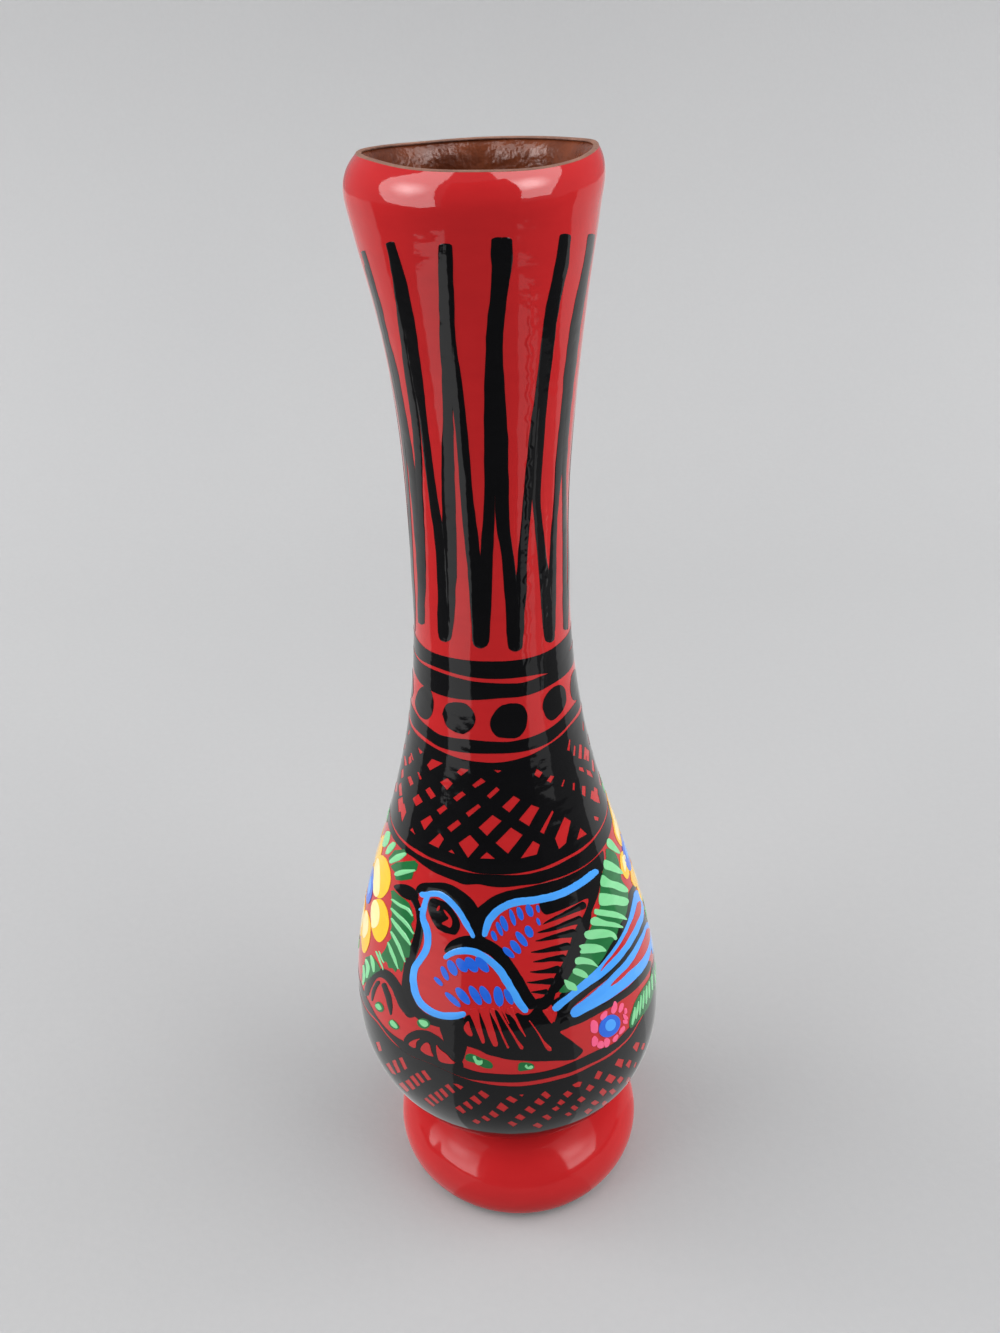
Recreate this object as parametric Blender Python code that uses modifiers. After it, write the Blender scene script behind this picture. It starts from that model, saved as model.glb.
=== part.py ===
"""Clay bud vase: a round belly on a foot ring, a slender neck and a flared, rounded lip.

The clay is thrown in five sections that are luted together with slip, so each section and each
layer of slip is a part of its own. Metres, +Z up, the vase stands on z = 0 with its axis on Z.
"""

import math

import bpy

# The whole
HEIGHT = 0.250            # floor to the crest of the lip
WALL = 0.0045             # clay thickness, measured level
FLOOR = 0.0055            # clay thickness at the bottom of the belly

# Belly: an ellipse below its widest level, a long curve into the neck above it
BELLY_RADIUS = 0.0379
UNDERSIDE_LEVEL = 0.0179  # lowest point of the rounded underside, above the floor
BELLY_DEPTH = 0.0345      # widest level down to the lowest point of the underside
BELLY_LEVEL = UNDERSIDE_LEVEL + BELLY_DEPTH
SHOULDER_PULL = 0.0382    # how far the upright tangent of the belly reaches up
NECK_PULL_DOWN = 0.0545   # how far the upright tangent of the neck reaches down

# Neck and lip
NECK_RADIUS = 0.0162      # narrowest
NECK_RISE = 0.1174        # widest level of the belly up to the narrowest of the neck
NECK_LEVEL = BELLY_LEVEL + NECK_RISE
NECK_PULL_UP = 0.0103     # how far the upright tangent of the neck reaches up
FLARE_PULL = 0.0459       # how far the slant of the flare reaches down
FLARE_SLANT = 0.18        # widening per unit of height at the lip
LIP_RADIUS = 0.0224       # widest
LIP_DROP = 0.007          # crest down to the widest level
LIP_WALL = 0.0042

# Foot: a domed ring that cradles the belly and tucks in below its widest level
FOOT_RADIUS = 0.032
FOOT_WIDE_LEVEL = 0.0075  # widest level, above the floor
DOME_WIDTH = 0.0185       # level reach of the dome's curve, inwards from the widest level
DOME_RISE = 0.0152
TUCK_WIDTH = 0.0058       # level reach of the curve below the widest level
TUCK_TRIM = 0.0002        # cut off that curve to make the flat standing ring
FOOT_BORE = 0.016

# Luted joints: a tongue inside a skirt, with slip between them
SLIP = 0.0008
CLEARANCE = 0.0003
TONGUE = 0.004
SHOULDER_RISE = 0.0636    # from the joint at the belly's widest level to the neck joint
LIP_SECTION = 0.024       # from the joint under the lip to the crest
SHOULDER_JOINT = BELLY_LEVEL + SHOULDER_RISE
LIP_JOINT = HEIGHT - LIP_SECTION

# Fineness of the turned surfaces
SEGMENTS = 40
POINT_SPACING = 0.009     # along a long wall
ARC_POINTS = 7
SHARP_ANGLE = math.radians(35)

RED_ENAMEL = (0.50, 0.013, 0.014, 1.0)
SLIP_CLAY = (0.42, 0.20, 0.12, 1.0)


def bezier(start, pull_start, pull_end, end, t):
    """A value on a cubic curve at t from 0 to 1."""
    s = 1 - t
    return s**3 * start + 3 * s * s * t * pull_start + 3 * s * t * t * pull_end + t**3 * end


def crossing(rising, target):
    """The t from 0 to 1 at which a rising function reaches the target."""
    low, high = 0.0, 1.0
    for _ in range(60):
        middle = (low + high) / 2
        if rising(middle) < target:
            low = middle
        else:
            high = middle
    return (low + high) / 2


def shoulder_radius(z):
    def level(t):
        return bezier(BELLY_LEVEL, BELLY_LEVEL + SHOULDER_PULL, NECK_LEVEL - NECK_PULL_DOWN, NECK_LEVEL, t)

    return bezier(BELLY_RADIUS, BELLY_RADIUS, NECK_RADIUS, NECK_RADIUS, crossing(level, z))


def flare_radius(z):
    top = HEIGHT - LIP_DROP

    def level(t):
        return bezier(NECK_LEVEL, NECK_LEVEL + NECK_PULL_UP, top - FLARE_PULL, top, t)

    pulled = LIP_RADIUS - FLARE_SLANT * FLARE_PULL
    return bezier(NECK_RADIUS, NECK_RADIUS, pulled, LIP_RADIUS, crossing(level, z))


def bowl_radius(z, radius, depth):
    """The radius of the ellipse below the belly's widest level."""
    drop = min(1.0, (BELLY_LEVEL - z) / depth)
    return radius * math.sqrt(1 - drop * drop)


def outer_radius(z):
    if z < BELLY_LEVEL:
        return bowl_radius(z, BELLY_RADIUS, BELLY_DEPTH)
    if z < NECK_LEVEL:
        return shoulder_radius(z)
    return flare_radius(z)


def inner_radius(z):
    if z < BELLY_LEVEL:
        return bowl_radius(z, BELLY_RADIUS - WALL, BELLY_DEPTH - FLOOR)
    return outer_radius(z) - WALL


def levels(low, high):
    """Evenly spaced levels from low to high."""
    count = max(1, round((high - low) / POINT_SPACING))
    return [low + (high - low) * i / count for i in range(count + 1)]


def outer_wall(low, high):
    """Points down the outside, from high to low."""
    return [(outer_radius(z), z) for z in reversed(levels(low, high))]


def inner_wall(low, high):
    """Points up the inside, from low to high."""
    return [(inner_radius(z), z) for z in levels(low, high)]


def arc(centre, radius, start, end, rise=None):
    """Points on a circle, or an ellipse with its own rise, between two angles."""
    rise = radius if rise is None else rise
    steps = [start + (end - start) * i / (ARC_POINTS - 1) for i in range(ARC_POINTS)]
    return [(centre[0] + radius * math.cos(a), centre[1] + rise * math.sin(a)) for a in steps]


def underside(radius, away):
    """A point at this radius on the belly's underside moved outwards along its normal."""

    def moved(t):
        angle = (t - 1) * math.pi / 2
        across, down = math.cos(angle) / BELLY_RADIUS, math.sin(angle) / BELLY_DEPTH
        length = math.hypot(across, down)
        return (
            BELLY_RADIUS * math.cos(angle) + away * across / length,
            BELLY_LEVEL + BELLY_DEPTH * math.sin(angle) + away * down / length,
        )

    return radius, moved(crossing(lambda t: moved(t)[0], radius))[1]


def dome(t):
    """A point on the foot's dome, from its widest level at 0 to its top at 1."""
    angle = t * math.pi / 2
    across = FOOT_RADIUS - DOME_WIDTH + DOME_WIDTH * math.cos(angle)
    return across, FOOT_WIDE_LEVEL + DOME_RISE * math.sin(angle)


def dome_end():
    """Where the dome meets the joint under the belly."""
    away = SLIP + 2 * CLEARANCE
    return crossing(lambda t: dome(t)[1] - underside(dome(t)[0], away)[1], 0.0)


def cradle(away):
    """Points from the foot's bore out to the edge of its dome, along the belly's underside."""
    count = 3
    seat = dome(dome_end())[0]
    radii = [FOOT_BORE + (seat - FOOT_BORE) * i / count for i in range(count + 1)]
    return [underside(radius, away) for radius in radii]


def tongue_top(joint):
    """The top of a section that carries the next one, from its inside to its outside."""
    gap = SLIP / 2 + CLEARANCE
    side = outer_radius(joint) - WALL / 2 - gap
    top, ledge = joint + TONGUE - gap, joint - gap
    return [(inner_radius(top), top), (side, top), (side, ledge), (outer_radius(ledge), ledge)]


def skirt_bottom(joint):
    """The bottom of a section that sits on a tongue, from its outside to its inside."""
    gap = SLIP / 2 + CLEARANCE
    side = outer_radius(joint) - WALL / 2 + gap
    hem, ledge = joint + gap, joint + TONGUE + gap
    return [(outer_radius(hem), hem), (side, hem), (side, ledge), (inner_radius(ledge), ledge)]


def slip_between(joint):
    """The slip in a tongue joint: a stepped ring, flush with the walls."""
    half = SLIP / 2
    middle = outer_radius(joint) - WALL / 2
    low, high = joint - half, joint + half
    low_in, high_in = joint + TONGUE - half, joint + TONGUE + half
    down = [(inner_radius(high_in), high_in), (middle + half, high_in), (middle + half, high)]
    rim = [(outer_radius(high), high), (outer_radius(low), low)]
    up = [(middle - half, low), (middle - half, low_in), (inner_radius(low_in), low_in)]
    return down + rim + up


def foot_outline():
    """Down the dome and its tuck, in along the standing ring and up the bore to the cradle."""
    end = dome_end()
    round_top = [dome(end * (1 - i / (ARC_POINTS - 1))) for i in range(ARC_POINTS)]
    tuck = (FOOT_RADIUS - TUCK_WIDTH, FOOT_WIDE_LEVEL)
    drop = FOOT_WIDE_LEVEL + TUCK_TRIM
    trim = -math.asin(FOOT_WIDE_LEVEL / drop)
    round_side = arc(tuck, TUCK_WIDTH, 0.0, trim, drop)[1:]
    return round_top + round_side + [(FOOT_BORE, 0.0)] + cradle(SLIP + 2 * CLEARANCE)[:-1]


def bowl_outline():
    """Up the inside from the axis, over the tongue and down the outside to the axis."""
    steps = [math.pi / 2 * i / ARC_POINTS for i in range(ARC_POINTS)]
    inside = [
        ((BELLY_RADIUS - WALL) * math.sin(a), BELLY_LEVEL - (BELLY_DEPTH - FLOOR) * math.cos(a))
        for a in steps
    ]
    top = tongue_top(BELLY_LEVEL)
    low = math.acos((BELLY_LEVEL - top[-1][1]) / BELLY_DEPTH)
    outside = [
        (BELLY_RADIUS * math.sin(a), BELLY_LEVEL - BELLY_DEPTH * math.cos(a))
        for a in [low * i / (ARC_POINTS + 1) for i in range(ARC_POINTS + 1)]
    ]
    return inside + top + outside[::-1]


def wall_outline(lower_joint, upper_joint):
    """A section between two joints: skirt at its bottom, tongue at its top."""
    hem = skirt_bottom(lower_joint)
    top = tongue_top(upper_joint)
    outside = outer_wall(hem[0][1], top[-1][1])[1:-1]
    inside = inner_wall(hem[-1][1], top[0][1])[1:-1]
    return top + outside + hem + inside


def lip_outline():
    """The flared end: skirt at its bottom, half an ellipse over the lip."""
    hem = skirt_bottom(LIP_JOINT)
    top = HEIGHT - LIP_DROP
    crest = (LIP_RADIUS - LIP_WALL / 2, top)
    over = arc(crest, LIP_WALL / 2, math.pi, 0, LIP_DROP)
    outside = outer_wall(hem[0][1], top)[1:-1]
    inside = inner_wall(hem[-1][1], top)[1:-1]
    return over + outside + hem + inside


def finish(name, colour, roughness):
    material = bpy.data.materials.new(name)
    material.use_nodes = True
    shader = material.node_tree.nodes["Principled BSDF"]
    shader.inputs["Base Color"].default_value = colour
    shader.inputs["Roughness"].default_value = roughness
    shader.inputs["Metallic"].default_value = 0.0
    return material


def turned(name, outline, material, parent, closed=True):
    """Turns an outline of (radius, level) points round the axis; an open one ends on the axis."""
    points = [(radius, 0.0, z) for radius, z in outline]
    if not closed:
        points[0] = (0.0, 0.0, points[0][2])
        points[-1] = (0.0, 0.0, points[-1][2])
    edges = [(i, i + 1) for i in range(len(points) - 1)]
    if closed:
        edges.append((len(points) - 1, 0))
    profile = bpy.data.meshes.new(name + "_profile")
    profile.from_pydata(points, edges, [])
    part = bpy.data.objects.new(name, profile)
    parts.objects.link(part)
    screw = part.modifiers.new("turn", "SCREW")
    screw.axis = "Z"
    screw.steps = SEGMENTS
    screw.render_steps = SEGMENTS
    screw.use_merge_vertices = True
    screw.merge_threshold = 0.00001
    # The turned surface replaces its profile, so that its edges can be marked sharp.
    bpy.context.view_layer.update()
    solid = bpy.data.meshes.new_from_object(part.evaluated_get(bpy.context.evaluated_depsgraph_get()))
    part.modifiers.clear()
    part.data = solid
    bpy.data.meshes.remove(profile)
    solid.name = name
    solid.shade_smooth()
    solid.set_sharp_from_angle(angle=SHARP_ANGLE)
    solid.materials.append(material)
    part.parent = parent
    return part


for old in list(bpy.data.objects):
    bpy.data.objects.remove(old, do_unlink=True)

parts = bpy.data.collections.new("clay_vase")
bpy.context.scene.collection.children.link(parts)
vase = bpy.data.objects.new("clay_vase_origin", None)
parts.objects.link(vase)

SECTIONS = {
    "foot_ring": foot_outline(),
    "shoulder_wall": wall_outline(BELLY_LEVEL, SHOULDER_JOINT),
    "neck_wall": wall_outline(SHOULDER_JOINT, LIP_JOINT),
    "rim_lip": lip_outline(),
}
SLIP_LAYERS = {
    "foot_slip": cradle(CLEARANCE) + cradle(CLEARANCE + SLIP)[::-1],
    "belly_slip": slip_between(BELLY_LEVEL),
    "neck_slip": slip_between(SHOULDER_JOINT),
    "lip_slip": slip_between(LIP_JOINT),
}
turned("belly_bowl", bowl_outline(), finish("belly_bowl_enamel", RED_ENAMEL, 0.15), vase, closed=False)
for part_name, section in SECTIONS.items():
    turned(part_name, section, finish(part_name + "_enamel", RED_ENAMEL, 0.15), vase)
for part_name, layer in SLIP_LAYERS.items():
    turned(part_name, layer, finish(part_name + "_clay", SLIP_CLAY, 0.8), vase)
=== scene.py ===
import math
import random

import bmesh
import bpy
import numpy as np
from mathutils import Matrix, Vector
from mathutils.geometry import delaunay_2d_cdt


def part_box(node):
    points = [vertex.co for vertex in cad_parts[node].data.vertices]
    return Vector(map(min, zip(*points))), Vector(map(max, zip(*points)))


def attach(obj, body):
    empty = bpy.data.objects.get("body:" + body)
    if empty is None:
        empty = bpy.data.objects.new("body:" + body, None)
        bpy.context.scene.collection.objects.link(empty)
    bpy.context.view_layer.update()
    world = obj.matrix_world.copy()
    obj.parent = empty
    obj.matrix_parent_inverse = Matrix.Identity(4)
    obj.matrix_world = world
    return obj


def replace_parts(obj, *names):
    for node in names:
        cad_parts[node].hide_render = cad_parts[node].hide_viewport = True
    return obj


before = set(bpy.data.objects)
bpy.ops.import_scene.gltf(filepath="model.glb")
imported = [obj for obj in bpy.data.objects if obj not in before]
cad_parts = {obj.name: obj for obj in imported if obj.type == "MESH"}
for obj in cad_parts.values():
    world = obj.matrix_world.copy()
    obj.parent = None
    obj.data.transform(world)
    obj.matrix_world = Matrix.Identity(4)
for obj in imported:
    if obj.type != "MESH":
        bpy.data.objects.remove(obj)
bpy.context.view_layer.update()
scene = bpy.context.scene
hand = random.Random(11)    # one seeded hand for every waver of the brush
mm = 0.001                  # the vase is worked out in mm, its finishes and the stage in metres

# the photograph's camera: picture and focal length in pixels, other lengths in mm, angles in degrees
photoView = {
    "wide": 1000,
    "tall": 1333,
    "focal": 1150,
    "sensor": 36,
    "nearClip": 10,
    "stand": (0, -212.8, 274.9),
    "lookDown": 30.779,
    "turn": 0.357,
    "tilt": -2.05,
    "reach": (150, 400),    # the wall is met between these distances
    "stride": 1.0,
    "halvings": 22,
    "wallTop": 249,         # no paint above this level
    "farOff": 50,           # gap given to a spot above or below the painted wall
}


def viewAxes(look):
    down, turn, tilt = [math.radians(look[k]) for k in ("lookDown", "turn", "tilt")]
    ahead = np.array((math.sin(turn) * math.cos(down), math.cos(turn) * math.cos(down), -math.sin(down)))
    level = np.array((math.cos(turn), -math.sin(turn), 0))
    above = np.cross(level, ahead)
    right = math.cos(tilt) * level + math.sin(tilt) * above
    up = math.cos(tilt) * above - math.sin(tilt) * level
    return right, up, ahead


viewRight, viewUp, viewAhead = viewAxes(photoView)
viewStand = np.array(photoView["stand"], float)


def addCamera():
    lens = bpy.data.cameras.new("photoCamera")
    lens.sensor_fit = "AUTO"
    lens.sensor_width = photoView["sensor"]
    lens.lens = photoView["sensor"] * photoView["focal"] / photoView["tall"]
    lens.clip_start = photoView["nearClip"] * mm
    eye = bpy.data.objects.new("photoCamera", lens)
    turn = Matrix([viewRight, viewUp, -viewAhead]).transposed().to_4x4()
    eye.matrix_world = Matrix.Translation(Vector(viewStand * mm)) @ turn
    scene.collection.objects.link(eye)
    scene.camera = eye


addCamera()
print("camera set")

# the potter's form in mm: the solids' turned line with a rounder lip, plus what the hand left uneven
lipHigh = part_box("rim_lip")[1]
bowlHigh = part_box("belly_bowl")[1]
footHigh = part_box("foot_ring")[1]
vaseForm = {
    "height": lipHigh.z / mm,
    "lipRadius": lipHigh.x / mm,
    "bellyRadius": bowlHigh.x / mm,
    "bellyLevel": 52.4,
    "bellyDepth": 34.5,
    "underTurn": 1.16,      # radians under the belly where the paint starts
    "shoulderPull": 38.2,
    "neckPullDown": 54.5,
    "neckLevel": 169.8,
    "neckRadius": 16.2,
    "neckPullUp": 10.3,
    "flarePull": 45.9,
    "flareSlant": 0.18,
    "lipDrop": 5.4,
    "lipWall": 4.2,
    "lipTurn": 70,          # degrees from the edge over to the crest
    "lipJoin": 2,           # the inner wall starts this far under the lip's edge
    "wall": 4.5,
    "floor": 5.5,
    "coat": 0.3,
    "footRadius": footHigh.x / mm,
    "footWide": 7.5,        # level where the foot is widest
    "dome": (18.5, 15.2),   # width and rise above that level
    "tuck": (5.8, 7.7),     # width and drop below it
    "footBore": 16,
    "boreEdge": 0.7,
    "boreLevels": (12, 20.6),
    "underBowl": 1.2,       # the bowl is this much deeper under its middle
    "standIn": 0.6,         # the flat of the standing ring starts this far in
    "joints": (52.4, 116, 226),
    # level and mm to the right; then turn and rise of the crest
    "lean": ((0, 2.1), (10, 2.1), (25, 1.9), (40, 1.23), (55, 0.46), (66, 0.1), (78, 0), (150, 0),
             (185, 0.12), (205, 0.35), (222, 0.25), (238, -0.22), (243, -0.3), (247, 0.1), (251, 0.9)),
    "crest": ((-180, 0.2), (-150, 0.1), (-120, 0.45), (-90, 0.85), (-60, 0.8), (-30, 0.05), (0, -0.25),
              (28, -0.45), (50, -0.1), (70, 0.5), (90, 0.9), (125, 0.5)),
    "oval": 0.3,
    "mouthIn": 0.1,
    # each starts at one level and is whole after a further height
    "ovalFrom": (216, 20),
    "mouthFrom": (243, 7),
    "crestFrom": (222, 28),
    "dent": {"turn": -50, "level": 16.2, "wide": 2.6, "deep": 0.32},
    "ripple": 0.05,
    "steadyRadius": 12,     # the ripple dies away nearer the axis than this
    # share, turns round the vase, mm of level to a radian, start
    "waves": ((1, 2, 31, 0), (0.8, 3, -13, 1.3), (0.7, 5, 9, 0.4)),
    "throwing": (0.6, 5.5),     # share, mm of level to a radian
}
# how finely the turned lines are drawn: counts of points, steps and gaps in mm
lineDetail = {
    "under": 60,
    "shoulder": 120,
    "flare": 80,
    "lip": 16,
    "outerStep": 0.5,
    "outerEase": 14,
    "mouth": 14,
    "inside": 150,
    "bowl": 40,
    "innerStep": 0.8,
    "innerEase": 6,
    "dome": 240,
    "tuck": 40,
    "footStep": 0.45,
    "underRows": 40,        # rows of the outer line that the foot can meet
    "jointGap": 0.05,
    "slopeReach": 0.6,
    "axisGap": 0.05,
}


def curveThrough(knots, period=None):
    # smooth single-valued line through a few knots
    knots = sorted(knots)
    xs = np.array([k[0] for k in knots], float)
    ys = np.array([k[1] for k in knots], float)
    if period:
        xs = np.concatenate((xs[-2:] - period, xs, xs[:2] + period))
        ys = np.concatenate((ys[-2:], ys, ys[:2]))
    slopes = np.gradient(ys, xs)

    def along(x):
        x = np.asarray(x, float)
        if period:
            x = (x - xs[2]) % period + xs[2]
        x = np.clip(x, xs[0], xs[-1])
        i = np.clip(np.searchsorted(xs, x) - 1, 0, len(xs) - 2)
        h = xs[i + 1] - xs[i]
        t = (x - xs[i]) / h
        keep = (1 + 2 * t) * (1 - t) ** 2 * ys[i] + t * (1 - t) ** 2 * h * slopes[i]
        return keep + t * t * (3 - 2 * t) * ys[i + 1] + t * t * (t - 1) * h * slopes[i + 1]

    return along


def bezier(p0, p1, p2, p3, count):
    t = np.linspace(0, 1, count)[:, None]
    p0, p1, p2, p3 = [np.array(p, float) for p in (p0, p1, p2, p3)]
    return (1 - t) ** 3 * p0 + 3 * (1 - t) ** 2 * t * p1 + 3 * (1 - t) * t * t * p2 + t ** 3 * p3


def evenLine(points, step):
    points = np.asarray(points, float)
    run = np.concatenate(((0,), np.cumsum(np.linalg.norm(np.diff(points, axis=0), axis=1))))
    marks = np.linspace(0, run[-1], max(2, int(round(run[-1] / step)) + 1))
    return np.stack([np.interp(marks, run, points[:, k]) for k in range(points.shape[1])], axis=1)


def easeLine(points, rounds):
    # takes the small corner out of a drawn line, ends held
    points = np.array(points, float)
    for _ in range(rounds):
        points[1:-1] = (points[:-2] + 2 * points[1:-1] + points[2:]) / 4
    return points


def arc(middle, reach, turns):
    # part of a round or oval, as (radius, level) points
    return np.stack((middle[0] + reach[0] * np.cos(turns), middle[1] + reach[1] * np.sin(turns)), 1)


def outerLine(form):
    # from under the belly up the outside to the crest of the lip
    under = arc((0, form["bellyLevel"]), (form["bellyRadius"], -form["bellyDepth"]),
                np.linspace(form["underTurn"], 0, lineDetail["under"]))
    belly = (form["bellyRadius"], form["bellyLevel"])
    waist = (form["neckRadius"], form["neckLevel"])
    shoulder = bezier(belly, (belly[0], belly[1] + form["shoulderPull"]),
                      (waist[0], waist[1] - form["neckPullDown"]), waist, lineDetail["shoulder"])
    edge = (form["lipRadius"], form["height"] - form["lipDrop"])
    pulled = (edge[0] - form["flareSlant"] * form["flarePull"], edge[1] - form["flarePull"])
    flare = bezier(waist, (waist[0], waist[1] + form["neckPullUp"]), pulled, edge, lineDetail["flare"])
    end = math.radians(form["lipTurn"])
    deep = form["lipWall"] / 2 / (1 - math.cos(end))
    lip = arc((edge[0] - deep, edge[1]), (deep, form["lipDrop"] / math.sin(end)),
              np.linspace(0, end, lineDetail["lip"]))
    line = np.concatenate((under, shoulder[1:], flare[1:], lip[1:]))
    return easeLine(evenLine(line, lineDetail["outerStep"]), lineDetail["outerEase"])


def innerLine(form):
    # from the crest down the inside to the floor of the bowl
    half = form["lipWall"] / 2
    edge = (form["lipRadius"] - form["lipWall"], form["height"] - form["lipDrop"])
    lip = arc((edge[0] + half, edge[1]), (-half, form["lipDrop"]),
              np.linspace(math.pi / 2, 0, lineDetail["mouth"]))
    levels = np.linspace(edge[1] - form["lipJoin"], form["bellyLevel"], lineDetail["inside"])
    wall = np.stack((radiusAt(levels) - form["wall"], levels), 1)
    inside = (form["bellyRadius"] - form["wall"], form["floor"] - form["bellyDepth"])
    bowl = arc((0, form["bellyLevel"]), inside, np.linspace(0, math.pi / 2, lineDetail["bowl"])[1:])
    bowl[-1, 0] = lineDetail["axisGap"]
    line = np.concatenate((lip, wall, bowl))
    return easeLine(evenLine(line, lineDetail["innerStep"]), lineDetail["innerEase"])


outer = outerLine(vaseForm)
leanAt = curveThrough(vaseForm["lean"])
crestAt = curveThrough(vaseForm["crest"], 360)


def radiusAt(level):
    return np.interp(level, outer[:, 1], outer[:, 0])


def slopeAt(level):
    reach = lineDetail["slopeReach"]
    return (radiusAt(level + reach) - radiusAt(level - reach)) / (2 * reach)


def growing(level, start):
    # nothing below the start, the whole after the further height
    low, height = start
    return np.clip((level - low) / height, 0, 1) ** 2


def steady(radius):
    return np.clip(radius / vaseForm["steadyRadius"], 0, 1)


def rippleAt(angle, level):
    # slow unevenness of a hand-turned wall, one dent in the foot, a slightly oval lip
    wave = sum(share * np.sin(turns * angle + level / pitch + start)
               for share, turns, pitch, start in vaseForm["waves"])
    share, pitch = vaseForm["throwing"]
    wave = wave + share * np.sin(level / pitch + np.sin(angle))
    dent = vaseForm["dent"]
    across = (angle - math.radians(dent["turn"])) * vaseForm["footRadius"]
    dip = np.exp(-(across / dent["wide"]) ** 2 - ((level - dent["level"]) / dent["wide"]) ** 2)
    widen = growing(level, vaseForm["ovalFrom"]) * vaseForm["oval"] * np.sin(angle) ** 2
    return vaseForm["ripple"] * wave + widen - dent["deep"] * dip


def shaped(angle, radius, level):
    # turned point to finished point: ripple, lean, narrowed mouth, uneven crest
    radius = radius + rippleAt(angle, level) * steady(radius)
    radius = radius - vaseForm["mouthIn"] * growing(level, vaseForm["mouthFrom"])
    rise = growing(level, vaseForm["crestFrom"]) * crestAt(np.degrees(angle))
    return np.stack((radius * np.sin(angle) + leanAt(level), -radius * np.cos(angle), level + rise), -1)


def onWall(angle, level, lift):
    # point on the painted wall, lifted along its normal; angle 0 is the front, growing to the right
    slope = slopeAt(level)
    flat = 1 / np.sqrt(1 + slope * slope)
    spot = shaped(angle, radiusAt(level), level)
    normal = np.stack((np.sin(angle) * flat, -np.cos(angle) * flat, -slope * flat), -1)
    return spot + normal * np.asarray(lift)[..., None]


def outsideBy(spots):
    level = spots[..., 2]
    gap = np.hypot(spots[..., 0] - leanAt(level), spots[..., 1]) - radiusAt(level)
    offWall = (level < outer[0, 1]) | (level > photoView["wallTop"])
    return np.where(offWall, photoView["farOff"], gap)


def fromPhoto(x, y):
    # photograph pixel to (angle, level) on the wall, by its line of sight
    across = (np.asarray(x, float) - photoView["wide"] / 2) / photoView["focal"]
    down = (np.asarray(y, float) - photoView["tall"] / 2) / photoView["focal"]
    rays = viewAhead + across[:, None] * viewRight - down[:, None] * viewUp
    reach = np.arange(*photoView["reach"], photoView["stride"])
    gap = outsideBy(viewStand + reach[None, :, None] * rays[:, None, :])
    hit = gap < 0
    struck = hit.any(axis=1)
    first = np.where(struck, hit.argmax(axis=1), gap.argmin(axis=1))
    far = reach[first]
    near = far - photoView["stride"]
    for _ in range(photoView["halvings"]):
        middle = (near + far) / 2
        inside = outsideBy(viewStand + middle[:, None] * rays) < 0
        far = np.where(inside, middle, far)
        near = np.where(inside, near, middle)
    depth = np.where(struck, far, reach[first])
    spots = viewStand + depth[:, None] * rays
    return np.arctan2(spots[:, 0] - leanAt(spots[:, 2]), -spots[:, 1]), spots[:, 2]


def around(degrees, level, mirror=1):
    # mm on the wall, measured right and up from one spot, for the sides the photograph hides
    slope = float(slopeAt(np.array(level, float)))
    flat = 1 / math.sqrt(1 + slope * slope)

    def place(x, y):
        upward = level + np.asarray(y, float) * flat
        return math.radians(degrees) + np.asarray(x, float) * mirror / radiusAt(upward), upward

    return place


# finishes
def srgb(red, green, blue):
    parts = [v / 255 for v in (red, green, blue)]
    return tuple(v / 12.92 if v < 0.04045 else ((v + 0.055) / 1.055) ** 2.4 for v in parts) + (1,)


class Wire:
    def __init__(self, finish, socket):
        self.finish = finish
        self.socket = socket

    def maths(self, operation, other=0.0):
        return self.finish.add("ShaderNodeMath", {"operation": operation}, {0: self, 1: other})

    def __add__(self, other):
        return self.maths("ADD", other)

    def __sub__(self, other):
        return self.maths("SUBTRACT", other)

    def __mul__(self, other):
        return self.maths("MULTIPLY", other)

    def __rsub__(self, other):
        return self.finish.add("ShaderNodeMath", {"operation": "SUBTRACT"}, {0: other, 1: self})

    __radd__ = __add__
    __rmul__ = __mul__


class Finish:
    def __init__(self, name):
        self.material = bpy.data.materials.new(name)
        self.material.use_nodes = True
        self.tree = self.material.node_tree
        self.shader = self.tree.nodes["Principled BSDF"]

    def add(self, kind, settings=None, inputs=None, out=0):
        node = self.tree.nodes.new(kind)
        for key, value in (settings or {}).items():
            setattr(node, key, value)
        for key, value in (inputs or {}).items():
            self.feed(node.inputs[key], value)
        return Wire(self, node.outputs[out])

    def feed(self, socket, value):
        if isinstance(value, Wire):
            self.tree.links.new(value.socket, socket)
        else:
            socket.default_value = value

    def surface(self, **values):
        for key, value in values.items():
            self.feed(self.shader.inputs[key.replace("_", " ")], value)
        return self.material

    def noise(self, spot, scale, detail, stretch=(1, 1, 1)):
        drawn = self.add("ShaderNodeVectorMath", {"operation": "MULTIPLY"}, {0: spot, 1: stretch})
        return self.add("ShaderNodeTexNoise", {}, {"Vector": drawn, "Scale": scale, "Detail": detail})

    def ranged(self, value, low, high, first=0.0, last=1.0, kind="LINEAR"):
        sockets = {0: value, 1: low, 2: high, 3: first, 4: last}
        return self.add("ShaderNodeMapRange", {"interpolation_type": kind}, sockets)

    def bump(self, strength, distance, height):
        return self.add("ShaderNodeBump", {}, {"Strength": strength, "Distance": distance, "Height": height})

    def blend(self, factor, first, second):
        sockets = {0: factor, 6: first, 7: second}
        return self.add("ShaderNodeMix", {"data_type": "RGBA"}, sockets, 2)


# two thin runs of varnish down the front of the neck, in mm: (x, level) at both ends
neckRuns = {
    "lines": (
        {"foot": (6.5, 150), "top": (8.6, 233), "sway": 1.1},
        {"foot": (10.1, 149), "top": (10.8, 197), "sway": 0.8},
    ),
    "swayNoise": (260, 1),
    "half": 0.7,            # half the width
    "footFade": 2,
    "topFade": 8,
    "front": (-4, -6),      # y where the runs begin to show and are whole
}


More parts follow.
